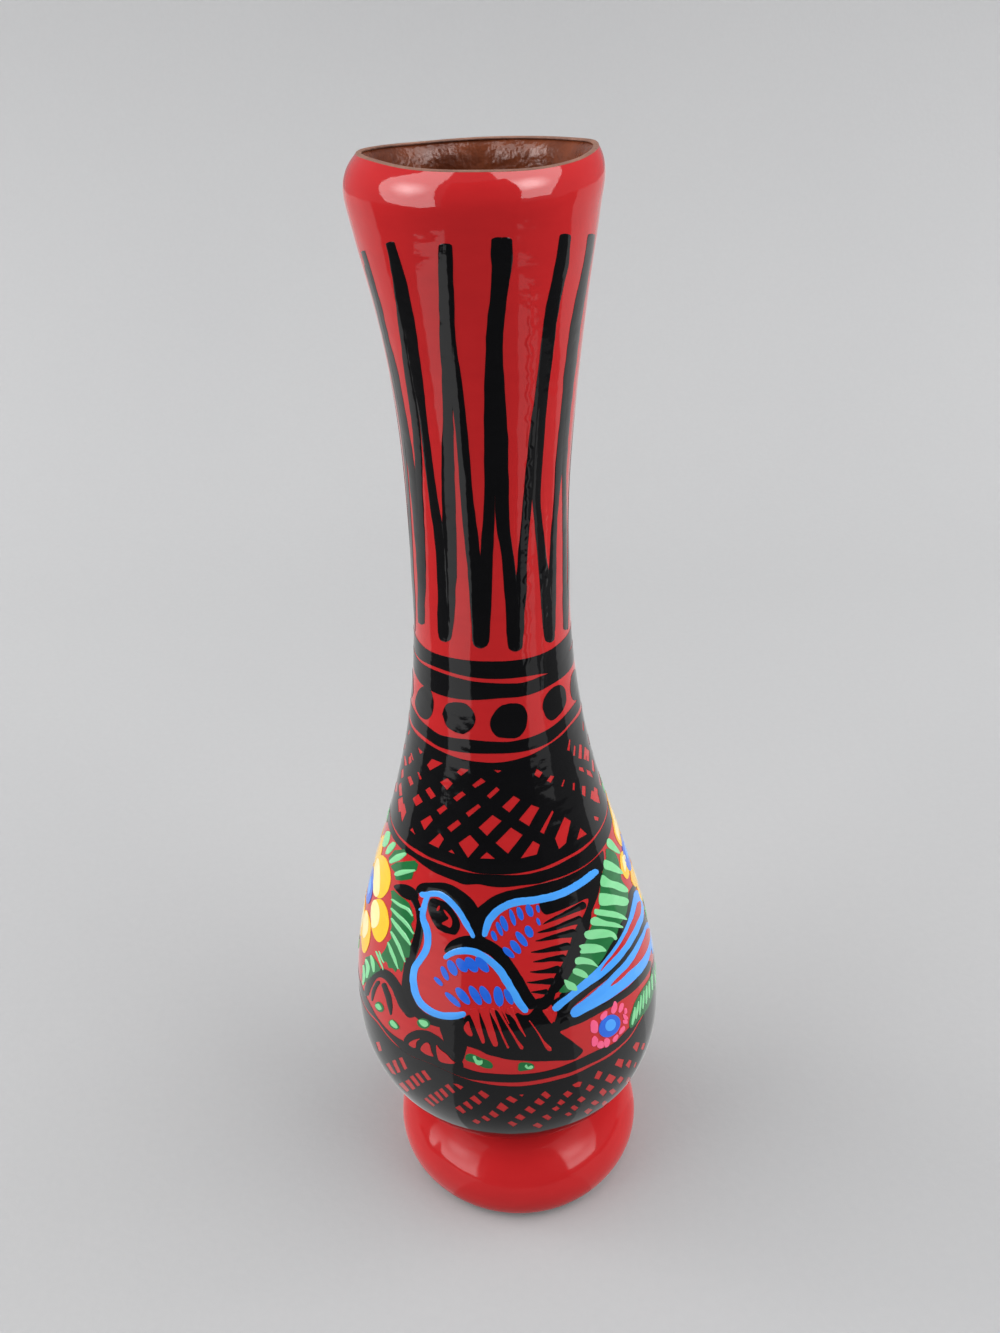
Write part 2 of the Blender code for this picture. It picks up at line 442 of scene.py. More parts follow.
def varnishRuns(f, spot):
    x, y, z = [f.add("ShaderNodeSeparateXYZ", None, {0: spot}, k) for k in range(3)]
    front = f.ranged(y, *[edge * mm for edge in neckRuns["front"]])
    ridges = None
    for run in neckRuns["lines"]:
        (footX, footZ), (topX, topZ) = run["foot"], run["top"]
        lineX = (z - footZ * mm) * ((topX - footX) / (topZ - footZ)) + footX * mm
        sway = (f.noise(z, *neckRuns["swayNoise"]) - 0.5) * (2 * run["sway"] * mm)
        off = (x - lineX + sway).maths("ABSOLUTE")
        ridge = f.ranged(off, 0.0, neckRuns["half"] * mm, 1.0, 0.0, "SMOOTHSTEP")
        low = f.ranged(z, footZ * mm, (footZ + neckRuns["footFade"]) * mm)
        high = f.ranged(z, topZ * mm, (topZ - neckRuns["topFade"]) * mm)
        ridge = ridge * low * high * front
        ridges = ridge if ridges is None else ridges + ridge
    return ridges


# streaks of the brush in the enamel, a slow swell in the varnish; noises as (scale, detail, stretch)
enamelSkin = {
    "drag": (260, 4, (0.35, 0.35, 1.6)),
    "patchy": (70, 2),
    "dragShare": 0.6,
    "patchShare": 0.4,
    "streaks": (0.35, 0.68),
    "thinnest": 0.35,
    "patchRough": 0.05,
    "swell": (85, 1, (1, 1, 0.6)),
    "teeth": (420, 1, (0.55, 0.55, 1)),
    "grain": (1200, 2),
    "teethShare": 0.18,
    "grainShare": 0.02,
    "runShare": 0.2,
    "sway": 0.35,
    "calm": (0.1, 0.14, 0.4),   # smooth below the first level, lively above the second, share left below
    "bend": 1.45,
    "coatRough": 0.09,
}


def enamel(name, colour, thin, gloss, dull=None):
    look = enamelSkin
    f = Finish(name)
    spot = f.add("ShaderNodeTexCoord", out="Object")
    noises = ("drag", "patchy", "swell", "teeth", "grain")
    drag, patchy, swell, teeth, grain = [f.noise(spot, *look[k]) for k in noises]
    streaks = drag * look["dragShare"] + patchy * look["patchShare"]
    mask = f.ranged(streaks, *look["streaks"], 0.0, look["thinnest"])
    level = f.add("ShaderNodeSeparateXYZ", {}, {0: spot}, "Z")
    lively = f.ranged(level, *look["calm"], 1.0)
    height = (swell - 0.5 + teeth * look["teethShare"] + grain * look["grainShare"]) * lively
    height = height + varnishRuns(f, spot) * look["runShare"]
    bump = f.bump(look["sway"], mm, height)
    if dull:
        f.surface(Coat_Weight=f.ranged(level, *dull), Coat_Roughness=look["coatRough"],
                  Coat_IOR=look["bend"], Specular_IOR_Level=0.0)
    return f.surface(Base_Color=f.blend(mask, colour, thin), Normal=bump, IOR=look["bend"],
                     Roughness=gloss + patchy * look["patchRough"])


# fired clay: grit, stains and lumps, as (scale, detail, stretch)
claySkin = {
    "grit": (900, 6),
    "stain": (140, 3, (1, 1, 1.8)),
    "lumps": (950, 1),
    "stainShare": 0.7,
    "gritShare": 0.3,
    "stained": (0.35, 0.65),
    "gritBump": 0.25,
    "stainRough": 0.2,
}


def clay(name, colour, dark, rough, lump, shine):
    look = claySkin
    f = Finish(name)
    spot = f.add("ShaderNodeTexCoord", out="Object")
    grit, stain, lumps = [f.noise(spot, *look[k]) for k in ("grit", "stain", "lumps")]
    mask = f.ranged(stain * look["stainShare"] + grit * look["gritShare"], *look["stained"])
    bump = f.bump(lump, mm, lumps + grit * look["gritBump"])
    return f.surface(Base_Color=f.blend(mask, colour, dark), Normal=bump, Specular_IOR_Level=shine,
                     Roughness=rough + stain * look["stainRough"])


redFull, redThin = srgb(191, 36, 38), srgb(173, 27, 31)
paints = {
    "red": enamel("redEnamel", redFull, redThin, gloss=0.03),
    "black": enamel("blackEnamel", srgb(7, 7, 9), srgb(16, 15, 17), gloss=0.03),
    "blue": enamel("skyBlueEnamel", srgb(64, 154, 244), srgb(102, 186, 254), gloss=0.07),
    "deepBlue": enamel("deepBlueEnamel", srgb(26, 94, 212), srgb(66, 124, 228), gloss=0.07),
    "leaf": enamel("leafGreenEnamel", srgb(24, 100, 52), srgb(44, 132, 70), gloss=0.07),
    "paleLeaf": enamel("paleGreenEnamel", srgb(118, 206, 140), srgb(168, 232, 180), gloss=0.07),
    "yellow": enamel("yellowEnamel", srgb(246, 188, 4), srgb(252, 210, 24), gloss=0.07),
    "cream": enamel("creamEnamel", srgb(250, 226, 150), srgb(252, 242, 208), gloss=0.07),
    "pink": enamel("pinkEnamel", srgb(240, 82, 130), srgb(252, 136, 166), gloss=0.07),
}
footVarnish = (0.0155, 0.0185, 0.7, 0.1)    # thins between these levels, from one weight to the other
footRed = enamel("footEnamel", redFull, redThin, gloss=0.05, dull=footVarnish)
innerClay = clay("varnishedClay", srgb(120, 61, 36), srgb(90, 43, 25), rough=0.13, lump=0.2, shine=0.26)
bareClay = clay("bareClay", srgb(138, 94, 74), srgb(106, 70, 54), rough=0.7, lump=0.25, shine=0.5)
print("finishes mixed")


# meshes
creaseAngle = 40
segments = {"ground": 288, "foot": 224, "clay": 160, "lipEdge": 224, "ring": 300}


def newPiece(name, points, faces, material):
    mesh = bpy.data.meshes.new(name)
    mesh.from_pydata([tuple(p) for p in np.asarray(points) * mm], [], faces)
    mesh.validate()
    work = bmesh.new()
    work.from_mesh(mesh)
    bmesh.ops.recalc_face_normals(work, faces=work.faces)
    work.to_mesh(mesh)
    work.free()
    mesh.shade_smooth()
    mesh.set_sharp_from_angle(angle=math.radians(creaseAngle))
    piece = bpy.data.objects.new(name, mesh)
    piece.data.materials.append(material)
    scene.collection.objects.link(piece)
    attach(piece, "root")
    return piece


def gridFaces(columns, rows):
    return [(i * rows + j, i * rows + j + 1, (i + 1) * rows + j + 1, (i + 1) * rows + j)
            for i in range(columns - 1) for j in range(rows - 1)]


def roundFaces(turns, rows, closed):
    # faces of a grid that runs right round the vase; a closed section joins its last row to its first
    faces = []
    for i in range(turns):
        here, there = i * rows, (i + 1) % turns * rows
        for j in range(rows if closed else rows - 1):
            k = (j + 1) % rows
            faces.append((here + j, there + j, there + k, here + k))
    return faces


def turned(name, section, count, material, shape=shaped):
    # closed section turned about the axis
    section = np.asarray(section, float)
    angles = np.linspace(-math.pi, math.pi, count, endpoint=False)
    points = shape(angles[:, None], section[None, :, 0], section[None, :, 1]).reshape(-1, 3)
    return newPiece(name, points, roundFaces(count, len(section), True), material)


def inset(line, amount):
    # line moved sideways, to the left of its run
    line = np.asarray(line, float)
    run = np.gradient(line, axis=0)
    run /= np.linalg.norm(run, axis=1)[:, None]
    return line + np.stack((-run[:, 1], run[:, 0]), 1) * np.asarray(amount)[..., None]


def footLine(form):
    # from the belly joint out over the dome, then tucked in to the standing ring
    (wide, rise), (tuck, drop) = form["dome"], form["tuck"]
    ring, level = form["footRadius"], form["footWide"]
    dome = arc((ring - wide, level), (wide, rise), np.linspace(math.pi / 2, 0, lineDetail["dome"]))
    bellyUnder = outer[:lineDetail["underRows"]]
    free = np.interp(dome[:, 0], bellyUnder[:, 0], bellyUnder[:, 1]) - lineDetail["jointGap"]
    dome = dome[dome[:, 1] < free]
    under = arc((ring - tuck, level), (tuck, -drop),
                np.linspace(0, math.asin(level / drop), lineDetail["tuck"])[1:])
    return evenLine(np.concatenate((dome, under)), lineDetail["footStep"])


# red ground, thinning out over a few rows at both ends
groundCoat = {"thinnest": 0.12, "bellyRows": 6, "footRows": 5, "bareFootRows": 6, "toClay": 0.02}


def coatSection(line, thick, rows):
    place = np.arange(len(line))
    taper = np.clip(np.minimum(place, place[::-1]) / rows, groundCoat["thinnest"], 1)
    return np.concatenate((line, inset(line, thick * taper)[::-1]))


coat = vaseForm["coat"]
footOuter = footLine(vaseForm)
bellyCoat = coatSection(outer, coat, groundCoat["bellyRows"])
footCoat = coatSection(footOuter[:-groundCoat["bareFootRows"]], -coat, groundCoat["footRows"])
turned("red_ground", bellyCoat, segments["ground"], paints["red"])
turned("red_foot", footCoat, segments["foot"], footRed)
print("red ground laid")

# clay walls under the paint, one for each section of the potter's work
potterMarks = {
    "full": 3,                  # mm in from the outside where the finger marks are whole
    "rings": (0.22, 1.9, 0.6),  # height, mm of level to a radian, waver
    "dents": ((0.2, 7, 3.1), (0.16, 11, -2.3)),     # height, turns round the vase, mm of level to a radian
    "gap": 0.01,
}


def clayShape(angle, radius, level):
    deep = np.clip((radiusAt(level) - radius) / potterMarks["full"], 0, 1)
    high, pitch, wander = potterMarks["rings"]
    lumps = high * np.sin(level / pitch + wander * np.sin(2 * angle))
    for high, turns, pitch in potterMarks["dents"]:
        lumps = lumps + high * np.sin(turns * angle + level / pitch)
    return shaped(angle, radius + deep * lumps * steady(radius), level)


inner = innerLine(vaseForm)
skin = inset(outer, coat + groundCoat["toClay"])


def claySection(name, low, high, nodes, bottom=()):
    out = skin[(skin[:, 1] > low) & (skin[:, 1] < high)]
    back = inner[(inner[:, 1] > low) & (inner[:, 1] < high)]
    section = np.concatenate((*bottom, out, back))
    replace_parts(turned(name, section, segments["clay"], innerClay, clayShape), *nodes)


gap = potterMarks["gap"]
low, middle, high = vaseForm["joints"]
underMiddle = np.array(((lineDetail["axisGap"], skin[0, 1] - vaseForm["underBowl"]),))
claySection("lip_clay", high + gap, math.inf, ("rim_lip", "lip_slip"))
claySection("neck_clay", middle + gap, high - gap, ("neck_wall", "neck_slip"))
claySection("shoulder_clay", low + gap, middle - gap, ("shoulder_wall", "belly_slip"))
claySection("bowl_clay", -math.inf, low - gap, ("belly_bowl",), (underMiddle,))
footClay = inset(footOuter, -coat - groundCoat["toClay"])
bore, edge = vaseForm["footBore"], vaseForm["boreEdge"]
ringIn = [(footClay[-1, 0] - vaseForm["standIn"], 0), (bore + edge, 0), (bore, edge)]
ringIn += [(bore, level) for level in vaseForm["boreLevels"]]
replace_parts(turned("foot_clay", np.concatenate((footClay, ringIn)), segments["clay"], bareClay),
            "foot_ring", "foot_slip")
# clay showing through along the crest of the lip
lipEdge = {"middle": (19.95, 249.84), "half": (0.5, 0.27), "points": 13}
edgeTurns = np.linspace(0, 2 * math.pi, lipEdge["points"], endpoint=False)
edgeLine = arc(lipEdge["middle"], lipEdge["half"], edgeTurns)
turned("lip_bare_edge", edgeLine, segments["lipEdge"], bareClay)
print("clay sections turned")


# brushwork
def smoothPath(points, step, closed=False):
    # even points on a curve through the given ones
    points = np.array([tuple(p) + (1,) * (3 - len(p)) for p in points], float)
    count = len(points)
    if not closed and count == 2:
        points = np.stack((points[0], (points[0] + points[1]) / 2, points[1]))
        count = 3
    made = []
    last = count if closed else count - 1
    for i in range(last):
        p1, p2 = points[i], points[(i + 1) % count]
        p0 = points[(i - 1) % count] if closed or i > 0 else 2 * p1 - p2
        p3 = points[(i + 2) % count] if closed or i < count - 2 else 2 * p2 - p1
        pieces = max(1, int(math.ceil(np.linalg.norm((p2 - p1)[:2]) / step)))
        t = (np.arange(pieces) / pieces)[:, None]
        made.append(0.5 * (2 * p1 + (p2 - p0) * t + (2 * p0 - 5 * p1 + 4 * p2 - p3) * t * t
                           + (3 * p1 - p0 - 3 * p2 + p3) * t ** 3))
    if not closed:
        made.append(points[-1:])
    return np.concatenate(made)


def waver(count, amount):
    # a steady hand's small drift, no two points alike
    raw = np.array([hand.gauss(0, 1) for _ in range(count)])
    for _ in range(3):
        raw = np.convolve(np.pad(raw, 1, mode="edge"), (0.25, 0.5, 0.25), "valid")
    return raw * amount


def turnedBy(degrees):
    turn = math.radians(degrees)
    return math.cos(turn), math.sin(turn)


# a film of paint, in mm: rooted in the ground, each film a little above the last one
paintFilm = {
    "root": -0.06,
    "step": 0.0016,
    "steps": 20,
    "grid": 1.6,
    "section": ((0, 0.55), (0.1, 0.95), (0.5, 1), (0.9, 0.95), (1, 0.55)),   # share of width, share of height
    "endMarks": (0.03, 0.15, 0.4, 0.7),
    "thinnest": 0.05,
    "calmer": (1, 0.3, 0),
    "dabPoints": 13,
    "dabWild": 0.12,
}
# height of the paint over the ground, in mm, from the first coat to the last touches
layers = {
    "dark": 0.05,
    "leaf": 0.08,
    "colour": 0.1,
    "leafLight": 0.13,
    "light": 0.14,
    "redTouch": 0.15,
    "eyeLight": 0.18,
}


class Brush:
    def __init__(self, name, paint, lift, slotName="coloured_enamel"):
        hand.seed(name)
        self.name = name
        self.paint = paint
        self.lift = lift
        self.slotName = slotName
        self.points = []
        self.faces = []
        self.total = 0
        self.films = 0

    def film(self, angle, level, faces, rise=1.0):
        # one closed film of paint: top, underside in the ground, and walls between
        angle, level = np.asarray(angle, float), np.asarray(level, float)
        self.films += 1
        lift = self.lift + paintFilm["step"] * (self.films % paintFilm["steps"])
        top = onWall(angle, level, lift * rise * np.ones(len(angle)))
        base = onWall(angle, level, np.full(len(angle), paintFilm["root"]))
        first = faces[len(faces) // 2]
        turn = sum(angle[a] * level[b] - angle[b] * level[a] for a, b in zip(first, first[1:] + first[:1]))
        if turn < 0:
            faces = [tuple(reversed(f)) for f in faces]
        sides = {}
        for f in faces:
            for a, b in zip(f, f[1:] + f[:1]):
                sides[(a, b)] = True
        start, count = self.total, len(angle)
        self.faces += [tuple(start + v for v in f) for f in faces]
        self.faces += [tuple(start + count + v for v in reversed(f)) for f in faces]
        self.faces += [(start + b, start + a, start + count + a, start + count + b)
                       for a, b in sides if (b, a) not in sides]
        self.points += [top, base]
        self.total += 2 * count

    def stroke(self, path, place=fromPhoto, step=2.0, wild=0.25, blunt=(1, 1)):
        # (x, y, width) points; ends rounded as a loaded brush leaves them, flatter where blunt is less
        line = smoothPath(path, step)
        run = np.concatenate(((0,), np.cumsum(np.linalg.norm(np.diff(line[:, :2], axis=0), axis=1))))
        marks = list(run)
        for width, end, way in ((line[0, 2] * blunt[0], 0, 1), (line[-1, 2] * blunt[1], run[-1], -1)):
            marks += [end + way * width / 2 * d for d in paintFilm["endMarks"] if width / 2 * d < run[-1] / 3]
        marks = np.array(sorted(set(np.round(marks, 4))))
        line = np.stack([np.interp(marks, run, line[:, k]) for k in range(3)], 1)
        width = np.maximum(line[:, 2], paintFilm["thinnest"])
        for left in (marks / (width[0] / 2 * blunt[0]), (marks[-1] - marks) / (width[-1] / 2 * blunt[1])):
            width = width * np.sqrt(np.clip(1 - (1 - np.clip(left, 0.01, 1)) ** 2, 0, 1))
        way = np.gradient(line[:, :2], axis=0)
        way /= np.maximum(np.linalg.norm(way, axis=1), 1e-6)[:, None]
        side = np.stack((-way[:, 1], way[:, 0]), 1)
        count = len(line)
        loose = np.minimum(1, width / max(width.max(), 0.01))
        left = line[:, :2] + side * (width / 2 + waver(count, wild) * loose)[:, None]
        right = line[:, :2] - side * (width / 2 + waver(count, wild) * loose)[:, None]
        la, lz = place(left[:, 0], left[:, 1])
        ra, rz = place(right[:, 0], right[:, 1])
        ra = la + (ra - la + math.pi) % (2 * math.pi) - math.pi
        shares, heights = zip(*paintFilm["section"])
        angle = np.stack([la + (ra - la) * s for s in shares], 1).ravel()
        level = np.stack([lz + (rz - lz) * s for s in shares], 1).ravel()
        self.film(angle, level, gridFaces(count, len(shares)), np.tile(heights, count))

    def patch(self, outline, place=fromPhoto, step=2.0, corners=False, wild=0.2):
        # a thin shape that crosses itself is drawn again with a steadier hand
        for calm in paintFilm["calmer"]:
            angle, level = loop(outline, place, step, corners, wild * calm)
            wide = float(radiusAt(np.array(level.mean())))
            middle = angle.mean()
            spots, faces = fillLoops([np.stack(((angle - middle) * wide, level), 1)], paintFilm["grid"])
            if faces:
                break
        self.film(spots[:, 0] / wide + middle, spots[:, 1], faces)

    def dab(self, x, y, length, width, turn, place=fromPhoto, pinch=0.0, step=1.2):
        # one press of the brush: rounded at both ends, or narrower at the far one
        t = np.linspace(0, 2 * math.pi, paintFilm["dabPoints"], endpoint=False)
        along = np.cos(t) * length / 2
        across = np.sin(t) * width / 2 * (1 - pinch * np.cos(t))
        c, s = turnedBy(turn)
        outline = np.stack((x + along * c - across * s, y + along * s + across * c), 1)
        self.patch(outline, place, step, wild=paintFilm["dabWild"])

    def done(self):
        return newPiece(self.name, np.concatenate(self.points), self.faces, paints[self.paint])


def darkBrush(name):
    return Brush(name, "black", layers["dark"], "black_enamel")


def loop(outline, place, step, corners, wild):
    if corners:
        ring = np.array(list(outline) + [outline[0]], float)[:, :2]
        sides = []
        for here, there in zip(ring, ring[1:]):
            count = max(2, int(np.linalg.norm(there - here) / step) + 1)
            sides.append(here + (there - here) * np.linspace(0, 1, count)[:-1, None])
        line = np.concatenate(sides)
    else:
        line = smoothPath(outline, step, True)[:, :2]
    drift = np.stack((waver(len(line), wild), waver(len(line), wild)), 1)
    angle, level = place(line[:, 0] + drift[:, 0], line[:, 1] + drift[:, 1])
    turn = angle[len(angle) // 2]
    return turn + (angle - turn + math.pi) % (2 * math.pi) - math.pi, level


def fillLoops(loops, spacing):
    # triangles inside the first loop and outside the others, with a grid of points between
    spots = [tuple(p) for ring in loops for p in ring]
    rings = []
    start = 0
    for ring in loops:
        order = list(range(start, start + len(ring)))
        after = np.roll(ring, -1, axis=0)
        area = (ring[:, 0] * after[:, 1] - ring[:, 1] * after[:, 0]).sum()
        rings.append(order if area > 0 else order[::-1])
        start += len(ring)
    low, high = loops[0].min(0), loops[0].max(0)
    for x in np.arange(low[0] + spacing / 2, high[0], spacing):
        for y in np.arange(low[1] + spacing / 2, high[1], spacing):
            spots.append((x, y))
    made = delaunay_2d_cdt([Vector(p) for p in spots], [], rings, 1, 1e-5)
    faces = [tuple(f) for f, source in zip(made[2], made[5]) if 0 in source and not set(source) - {0}]
    used = sorted({v for f in faces for v in f})
    number = {v: i for i, v in enumerate(used)}
    return np.array([made[0][v] for v in used]), [tuple(number[v] for v in f) for f in faces]


# painted rings, in mm and degrees
ringHand = {
    "seen": 71,             # traced points count up to this turn to either side
    "hiddenKnots": 7,
    "drift": 0.25,
    "rows": 6,
    "thinnest": 0.02,
    "grid": 1.7,
    "washer": 90.0,         # radius added to the level where a ring is laid out flat
}
ringTurns = np.linspace(-180, 180, segments["ring"], endpoint=False)


def ringEdge(traced):
    # level of a painted ring round the vase: as traced in front, by a steady hand behind
    angle, level = fromPhoto([p[0] for p in traced], [p[1] for p in traced])
    seen = np.abs(angle) < math.radians(ringHand["seen"])
    knots = list(zip(np.degrees(angle[seen]), level[seen]))
    mean = np.median(level[seen])
    right, left = max(knots)[0], min(knots)[0] + 360
    for share in np.linspace(0, 1, ringHand["hiddenKnots"] + 2)[1:-1]:
        # runs on from the last seen level over the first and last quarter
        blend = max(knots)[1] * max(0, 1 - 4 * share) + min(knots)[1] * max(0, 4 * share - 3)
        weight = max(0, 1 - 4 * share) + max(0, 4 * share - 3)
        where = (right + (left - right) * share + 180) % 360 - 180
        knots.append((where, blend + (1 - weight) * mean + hand.gauss(0, ringHand["drift"])))
    return curveThrough(knots, 360)


def ringFilm(brush, topEdge, lowEdge):
    high, low = topEdge(ringTurns), lowEdge(ringTurns)
    thick = np.maximum(high - low, ringHand["thinnest"])
    shares = np.linspace(0, 1, ringHand["rows"])
    level = np.stack([low + thick * s for s in shares], 1).ravel()
    angle = np.repeat(np.radians(ringTurns), len(shares))
    brush.film(angle, level, roundFaces(len(ringTurns), len(shares), False))


def ringWithGaps(brush, topEdge, lowEdge, gaps):
    # black ring with red left bare in it; filled flat as a washer, then put back on the wall
    base = ringHand["washer"]
    turn = np.radians(ringTurns)

    def washer(angle, level):
        return np.stack(((base + level) * np.cos(angle), (base + level) * np.sin(angle)), 1)

    loops = [washer(turn, topEdge(ringTurns)), washer(turn, lowEdge(ringTurns))]
    loops += [washer(a, z) for a, z in gaps]
    spots, faces = fillLoops(loops, ringHand["grid"])
    angle = np.arctan2(spots[:, 1], spots[:, 0])
    level = np.hypot(spots[:, 0], spots[:, 1]) - base
    brush.film(angle, level, faces)


# neck: pairs of dark strokes that part from one top and meet the next pair's foot
neckStrokes = {
    "traced": (
        ((364, 252, 4), (377, 300, 6), (386.5, 340, 6.5), (396, 380, 7), (403.5, 420, 7), (410, 460, 6.5),
         (415, 500, 6.5), (418.5, 540, 6.5), (421, 580, 6.5), (421.8, 612, 6.5), (421.6, 624.5, 6.5)),
        ((390, 242.5, 8), (396, 270, 9), (400, 300, 9), (405, 340, 9), (410, 380, 9), (414, 410, 8),
         (417, 440, 8), (420, 500, 6), (421, 540, 8), (421.5, 580, 8), (421, 612, 7), (421, 624, 6)),
        ((390.5, 242.5, 8), (398, 270, 10), (405, 300, 11), (411.5, 340, 12), (417.5, 380, 11),
         (422, 410, 8), (428, 460, 8), (433.5, 500, 9), (438, 530, 10), (441, 560, 10), (443.5, 620, 12),
         (445, 634, 13), (445.5, 642, 11)),
        ((444.5, 243, 12), (445.5, 270, 14), (447, 340, 14), (448, 380, 12), (448, 420, 10), (447.5, 460, 13),
         (449.5, 540, 14), (449.5, 570, 14), (448.5, 600, 13), (447, 625, 12), (446, 640, 10)),
        ((446.5, 243, 12), (447, 300, 14), (449, 340, 14), (454.5, 380, 14), (459.5, 410, 12),
         (464, 460, 12), (467, 500, 12.5), (471.5, 540, 14), (474.5, 570, 14), (479.5, 630, 16),
         (480.5, 641, 16), (481, 648.5, 13)),
        ((499, 236, 15), (498.5, 256, 16), (499, 270, 15), (497, 300, 14), (493.5, 330, 14), (491, 400, 14),
         (491, 440, 14), (489.5, 500, 11), (488, 530, 12), (486.5, 560, 13), (483, 630, 14),
         (481.5, 642, 14), (481, 648, 11)),
        ((505, 236, 14), (505, 256, 15), (503, 270, 16), (499.5, 300, 14), (496.5, 330, 14), (496, 360, 14),
         (500.5, 440, 15), (502, 500, 14), (503.5, 530, 13), (508, 560, 12), (514, 620, 16), (515, 640, 16),
         (515.5, 651.5, 13)),
        ((565, 233, 10), (561, 262, 11), (553, 300, 11), (547.5, 335, 11), (539, 400, 10), (535, 430, 10),
         (528.5, 490, 9), (523, 550, 9), (521, 580, 11), (519, 610, 12), (517.5, 635, 12), (516.5, 650, 10)),
        ((565.5, 233, 10), (563, 262, 11), (555, 300, 11), (549.5, 335, 11), (542.5, 400, 9), (540, 430, 9),
         (536.5, 490, 8), (538, 520, 8), (544.5, 580, 10), (547, 605, 12), (549, 630, 12), (550, 642.5, 9)),
        ((590.5, 234.5, 7), (586, 265, 7), (579.5, 300, 8), (573, 335, 8), (565.5, 400, 8), (559, 460, 7),
         (555, 510, 5), (553.5, 535, 6), (552, 590, 8), (551, 620, 9), (550, 641, 8)),
        ((590.5, 234.5, 6), (586.5, 265, 6), (581, 300, 7), (576, 335, 7), (568.5, 400, 6), (564, 460, 5),
         (564, 490, 4.5), (564.5, 570, 4.5), (565, 600, 4.5), (565.5, 622, 4.5), (565.5, 630, 4)),
    ),
    "hiddenTops": (100, 128, 155.5, 183, 210.5, 238, 264),
    "hiddenFeet": (71, 114, 141.5, 169, 197, 224.5, 251, 282),
    "firstTop": 292,
    "topLevel": (231.5, 1.5),       # level and how far it strays
    "footLevel": (160.8, 0.6),
    "hiddenPoints": 12,
    "hiddenSwing": 1.25,
    "hiddenWidth": (2.3, 0.5, 5),   # mm, how far it varies, how quickly
    "footShare": 0.45,
    "tip": 0.9,
    "step": 4,
    "wild": 0.45,
    "blunt": (0.45, 0.8),
    "hiddenStep": 1.5,
    "hiddenWild": 0.05,
}
stripes = darkBrush("neck_strokes")
for leg in neckStrokes["traced"]:
    stripes.stroke(leg, step=neckStrokes["step"], wild=neckStrokes["wild"], blunt=neckStrokes["blunt"])


def asIs(angle, level):
    return np.radians(angle), np.asarray(level, float)


def straying(level, most):
    return level + hand.uniform(-most, most)


def hiddenLeg(top, foot):
    # turned into degrees, the width is wide on the slim neck and narrow on the flare
    high = straying(*neckStrokes["topLevel"])
    low = straying(*neckStrokes["footLevel"])
    wide, vary, quick = neckStrokes["hiddenWidth"]
    left, right = [], []
    for share in np.linspace(0, 1, neckStrokes["hiddenPoints"]):
        level = high + (low - high) * share
        turn = top + (foot - top) * share ** neckStrokes["hiddenSwing"]
        thick = wide + vary * math.sin(share * quick + top)
        thick *= neckStrokes["footShare"] if share == 1 else 1
        across = math.degrees(thick / float(radiusAt(np.array(level))))
        left.append((turn - across / 2, level))
        right.append((turn + across / 2, level))
    ends = [(top, high + neckStrokes["tip"])], [(foot, level - neckStrokes["tip"])]
    stripes.patch(left[::-1] + ends[0] + right + ends[1], asIs, neckStrokes["hiddenStep"],
                  wild=neckStrokes["hiddenWild"])


tops = neckStrokes["hiddenTops"]
feet = neckStrokes["hiddenFeet"]
for i, top in enumerate(tops):
    hiddenLeg(top, feet[i])
    hiddenLeg(top, feet[i + 1])
hiddenLeg(neckStrokes["firstTop"], feet[-1])
stripes.done()
print("neck strokes painted")

